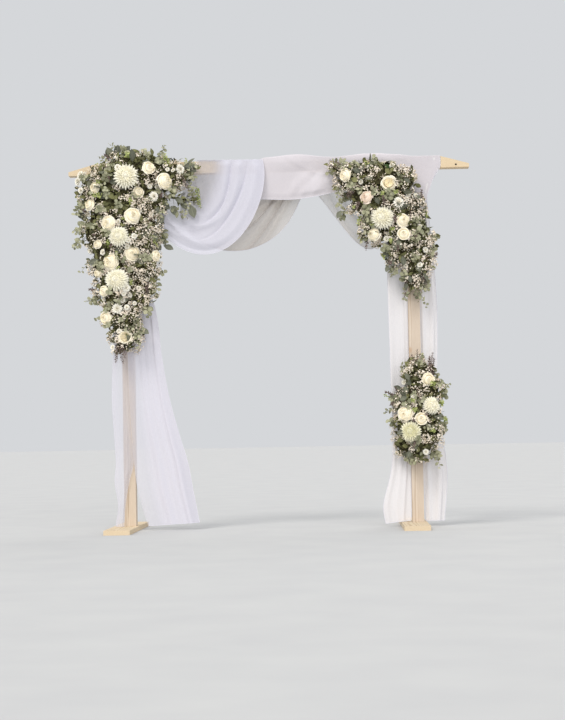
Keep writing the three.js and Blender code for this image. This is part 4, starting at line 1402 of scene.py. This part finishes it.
def sprig_paths(side, count, placed, length, draw):
    """Stems for short sprigs, with their lengths: some spring from anywhere between two heights on an
    arrangement, and some lie where they show."""
    low, high = sprigs_between[side]

    def between(middle):
        """How thick sprigs stand: none past the two heights, thinning out towards them."""
        return smooth(middle[:, 2], low, low + 0.1) * (1 - smooth(middle[:, 2], high - 0.1, high))

    starts = []
    for spot, out in spots_on(side, count, draw, region=between):
        heading = (out * 0.8 + Vector(draw.normal(0, 0.4, 3))) * Vector((0.3, 1, 0.8))
        heading += Vector((0, -0.35, 0))
        heading.normalize()
        starts.append((spot, heading, length * draw.uniform(0.8, 1.25)))
    for x0, z0, x1, z1 in placed:
        start = seat(side, x0, z0)
        end = Vector((x1 / 1000, start.y - 0.01, z1 / 1000))
        starts.append((start, (end - start).normalized(), (end - start).length))
    sprigs = []
    for start, heading, long in starts:
        path = stem_path(start - heading * 0.035, heading, long + 0.035, 0.08, draw)
        stems[side].append(tube(path, 0.0009, 3, 0.5))
        sprigs.append((path, long))
    return sprigs


for order, side in enumerate(SIDES):
    draw = np.random.default_rng(1400 + order)
    fresh, dusky = [], []
    for path, long in sprig_paths(side, fresh_counts[side], fresh_placed[side], 0.06, draw):
        fresh += along_stem(path, draw.uniform(*FRESH_LENGTHS), int(200 * long), draw, 0.6, 0.3)
    for path, long in sprig_paths(side, dusky_counts[side], dusky_placed[side], 0.08, draw):
        dusky += along_stem(path, draw.uniform(*DUSKY_LENGTHS), int(290 * long), draw, 0.6, 0.25)
    add_to(side, "fresh_sprigs", toned(oval_leaf, keep_clear(fresh, side), draw), fresh_leaf)
    add_to(side, "dusky_sprigs", toned(bud_leaf, keep_clear(dusky, side), draw), dusky_leaf)


# Tiny blossoms
# Clouds of waxflower: five-petalled stars and half-open buds, cream with a touch of pink, on hair-thin
# branching stalks that are pushed in between the larger flowers.
blossom_finish = petal_finish("tiny_blossom", (214, 192, 160), (244, 228, 206), (252, 243, 229), 0.6)


def little_flower(one_petal, lifts):
    """A few petals round +Z, each lifted by its own angle in degrees."""
    places = []
    for k, lift in enumerate(lifts):
        turn = Matrix.Rotation(k * math.tau / len(lifts), 4, "Z")
        places.append(np.array(turn @ Matrix.Rotation(math.radians(-lift), 4, "Y")))
    return copies(one_petal, places)


star_shape = little_flower(petal(1.0, 0.86, 0.3, 0.1, 3, 2, 0.4), (28, 34, 28, 34, 28))
bud_shape = little_flower(petal(1.0, 0.9, 0.5, -0.1, 3, 2, 0.6), (68, 68, 68, 68))
cloud_counts = {"left": 450, "right": 330, "low": 150}
BLOSSOMS_IN_CLOUD = 21
CLOUD_RADII, BLOSSOM_RADII = (0.02, 0.034), (0.005, 0.0082)


def blossom_share(middle):
    """How thick the clouds stand: thin over the top and the outer side, and few beside the main swag."""
    thin = np.where((middle[:, 0] < -0.9) | (middle[:, 2] > 2.12), 0.55, 1.2)
    beside_swag = (np.abs(middle[:, 0] + 0.5) < 0.12) & (middle[:, 2] < 2.0)
    return np.where(beside_swag, 0.12, thin)


for order, side in enumerate(SIDES):
    draw = np.random.default_rng(1500 + order)
    stars, buds = [], []
    for spot, out in spots_on(side, cloud_counts[side], draw, region=blossom_share):
        base = spot - out * 0.02
        reach = draw.uniform(*CLOUD_RADII)
        for k in range(BLOSSOMS_IN_CLOUD):
            away = (out + Vector(draw.normal(0, 0.8, 3))).normalized()
            tip = base + out * 0.012 + away * reach * draw.uniform(0.7, 1.15)
            facing = away + Vector(draw.normal(0, 0.3, 3))
            kind = stars if draw.uniform() < 0.6 else buds
            kind.append(set_at(tip, facing.orthogonal(), facing, draw.uniform(*BLOSSOM_RADII)))
            if draw.uniform() < 0.3:
                fork = base.lerp(tip, 0.6) + Vector(draw.normal(0, 0.002, 3))
                stems[side].append(tube(np.array([base, fork, tip]), 0.0004, 3))
    stars = toned(star_shape, keep_clear(stars, side), draw, -0.1, 0.3)
    buds = toned(bud_shape, keep_clear(buds, side), draw, -0.3, 0.2)
    add_to(side, "tiny_blossoms", join_up([stars, buds]), blossom_finish, "petals")


# Stems
# The woody and green stalks of all that is set into the foam grow thinner towards their tips. Those
# that would cross a flower head are left out.
stem_finish, tree, shader = new_finish("woody_stem", Roughness=0.7)
bark = cloudy(tree, place_on(tree), 300.0, 3.0)
paint(tree, shader, bark, (0.3, (92, 84, 56)), (0.7, (146, 140, 100)))
raised(tree, shader, bark, 0.0005)
for side in SIDES:
    kept = [stem for stem in stems[side] if not any(hides_a_head(spot, side) for spot in stem[0][::3])]
    add_to(side, "stems", join_up(kept), stem_finish)
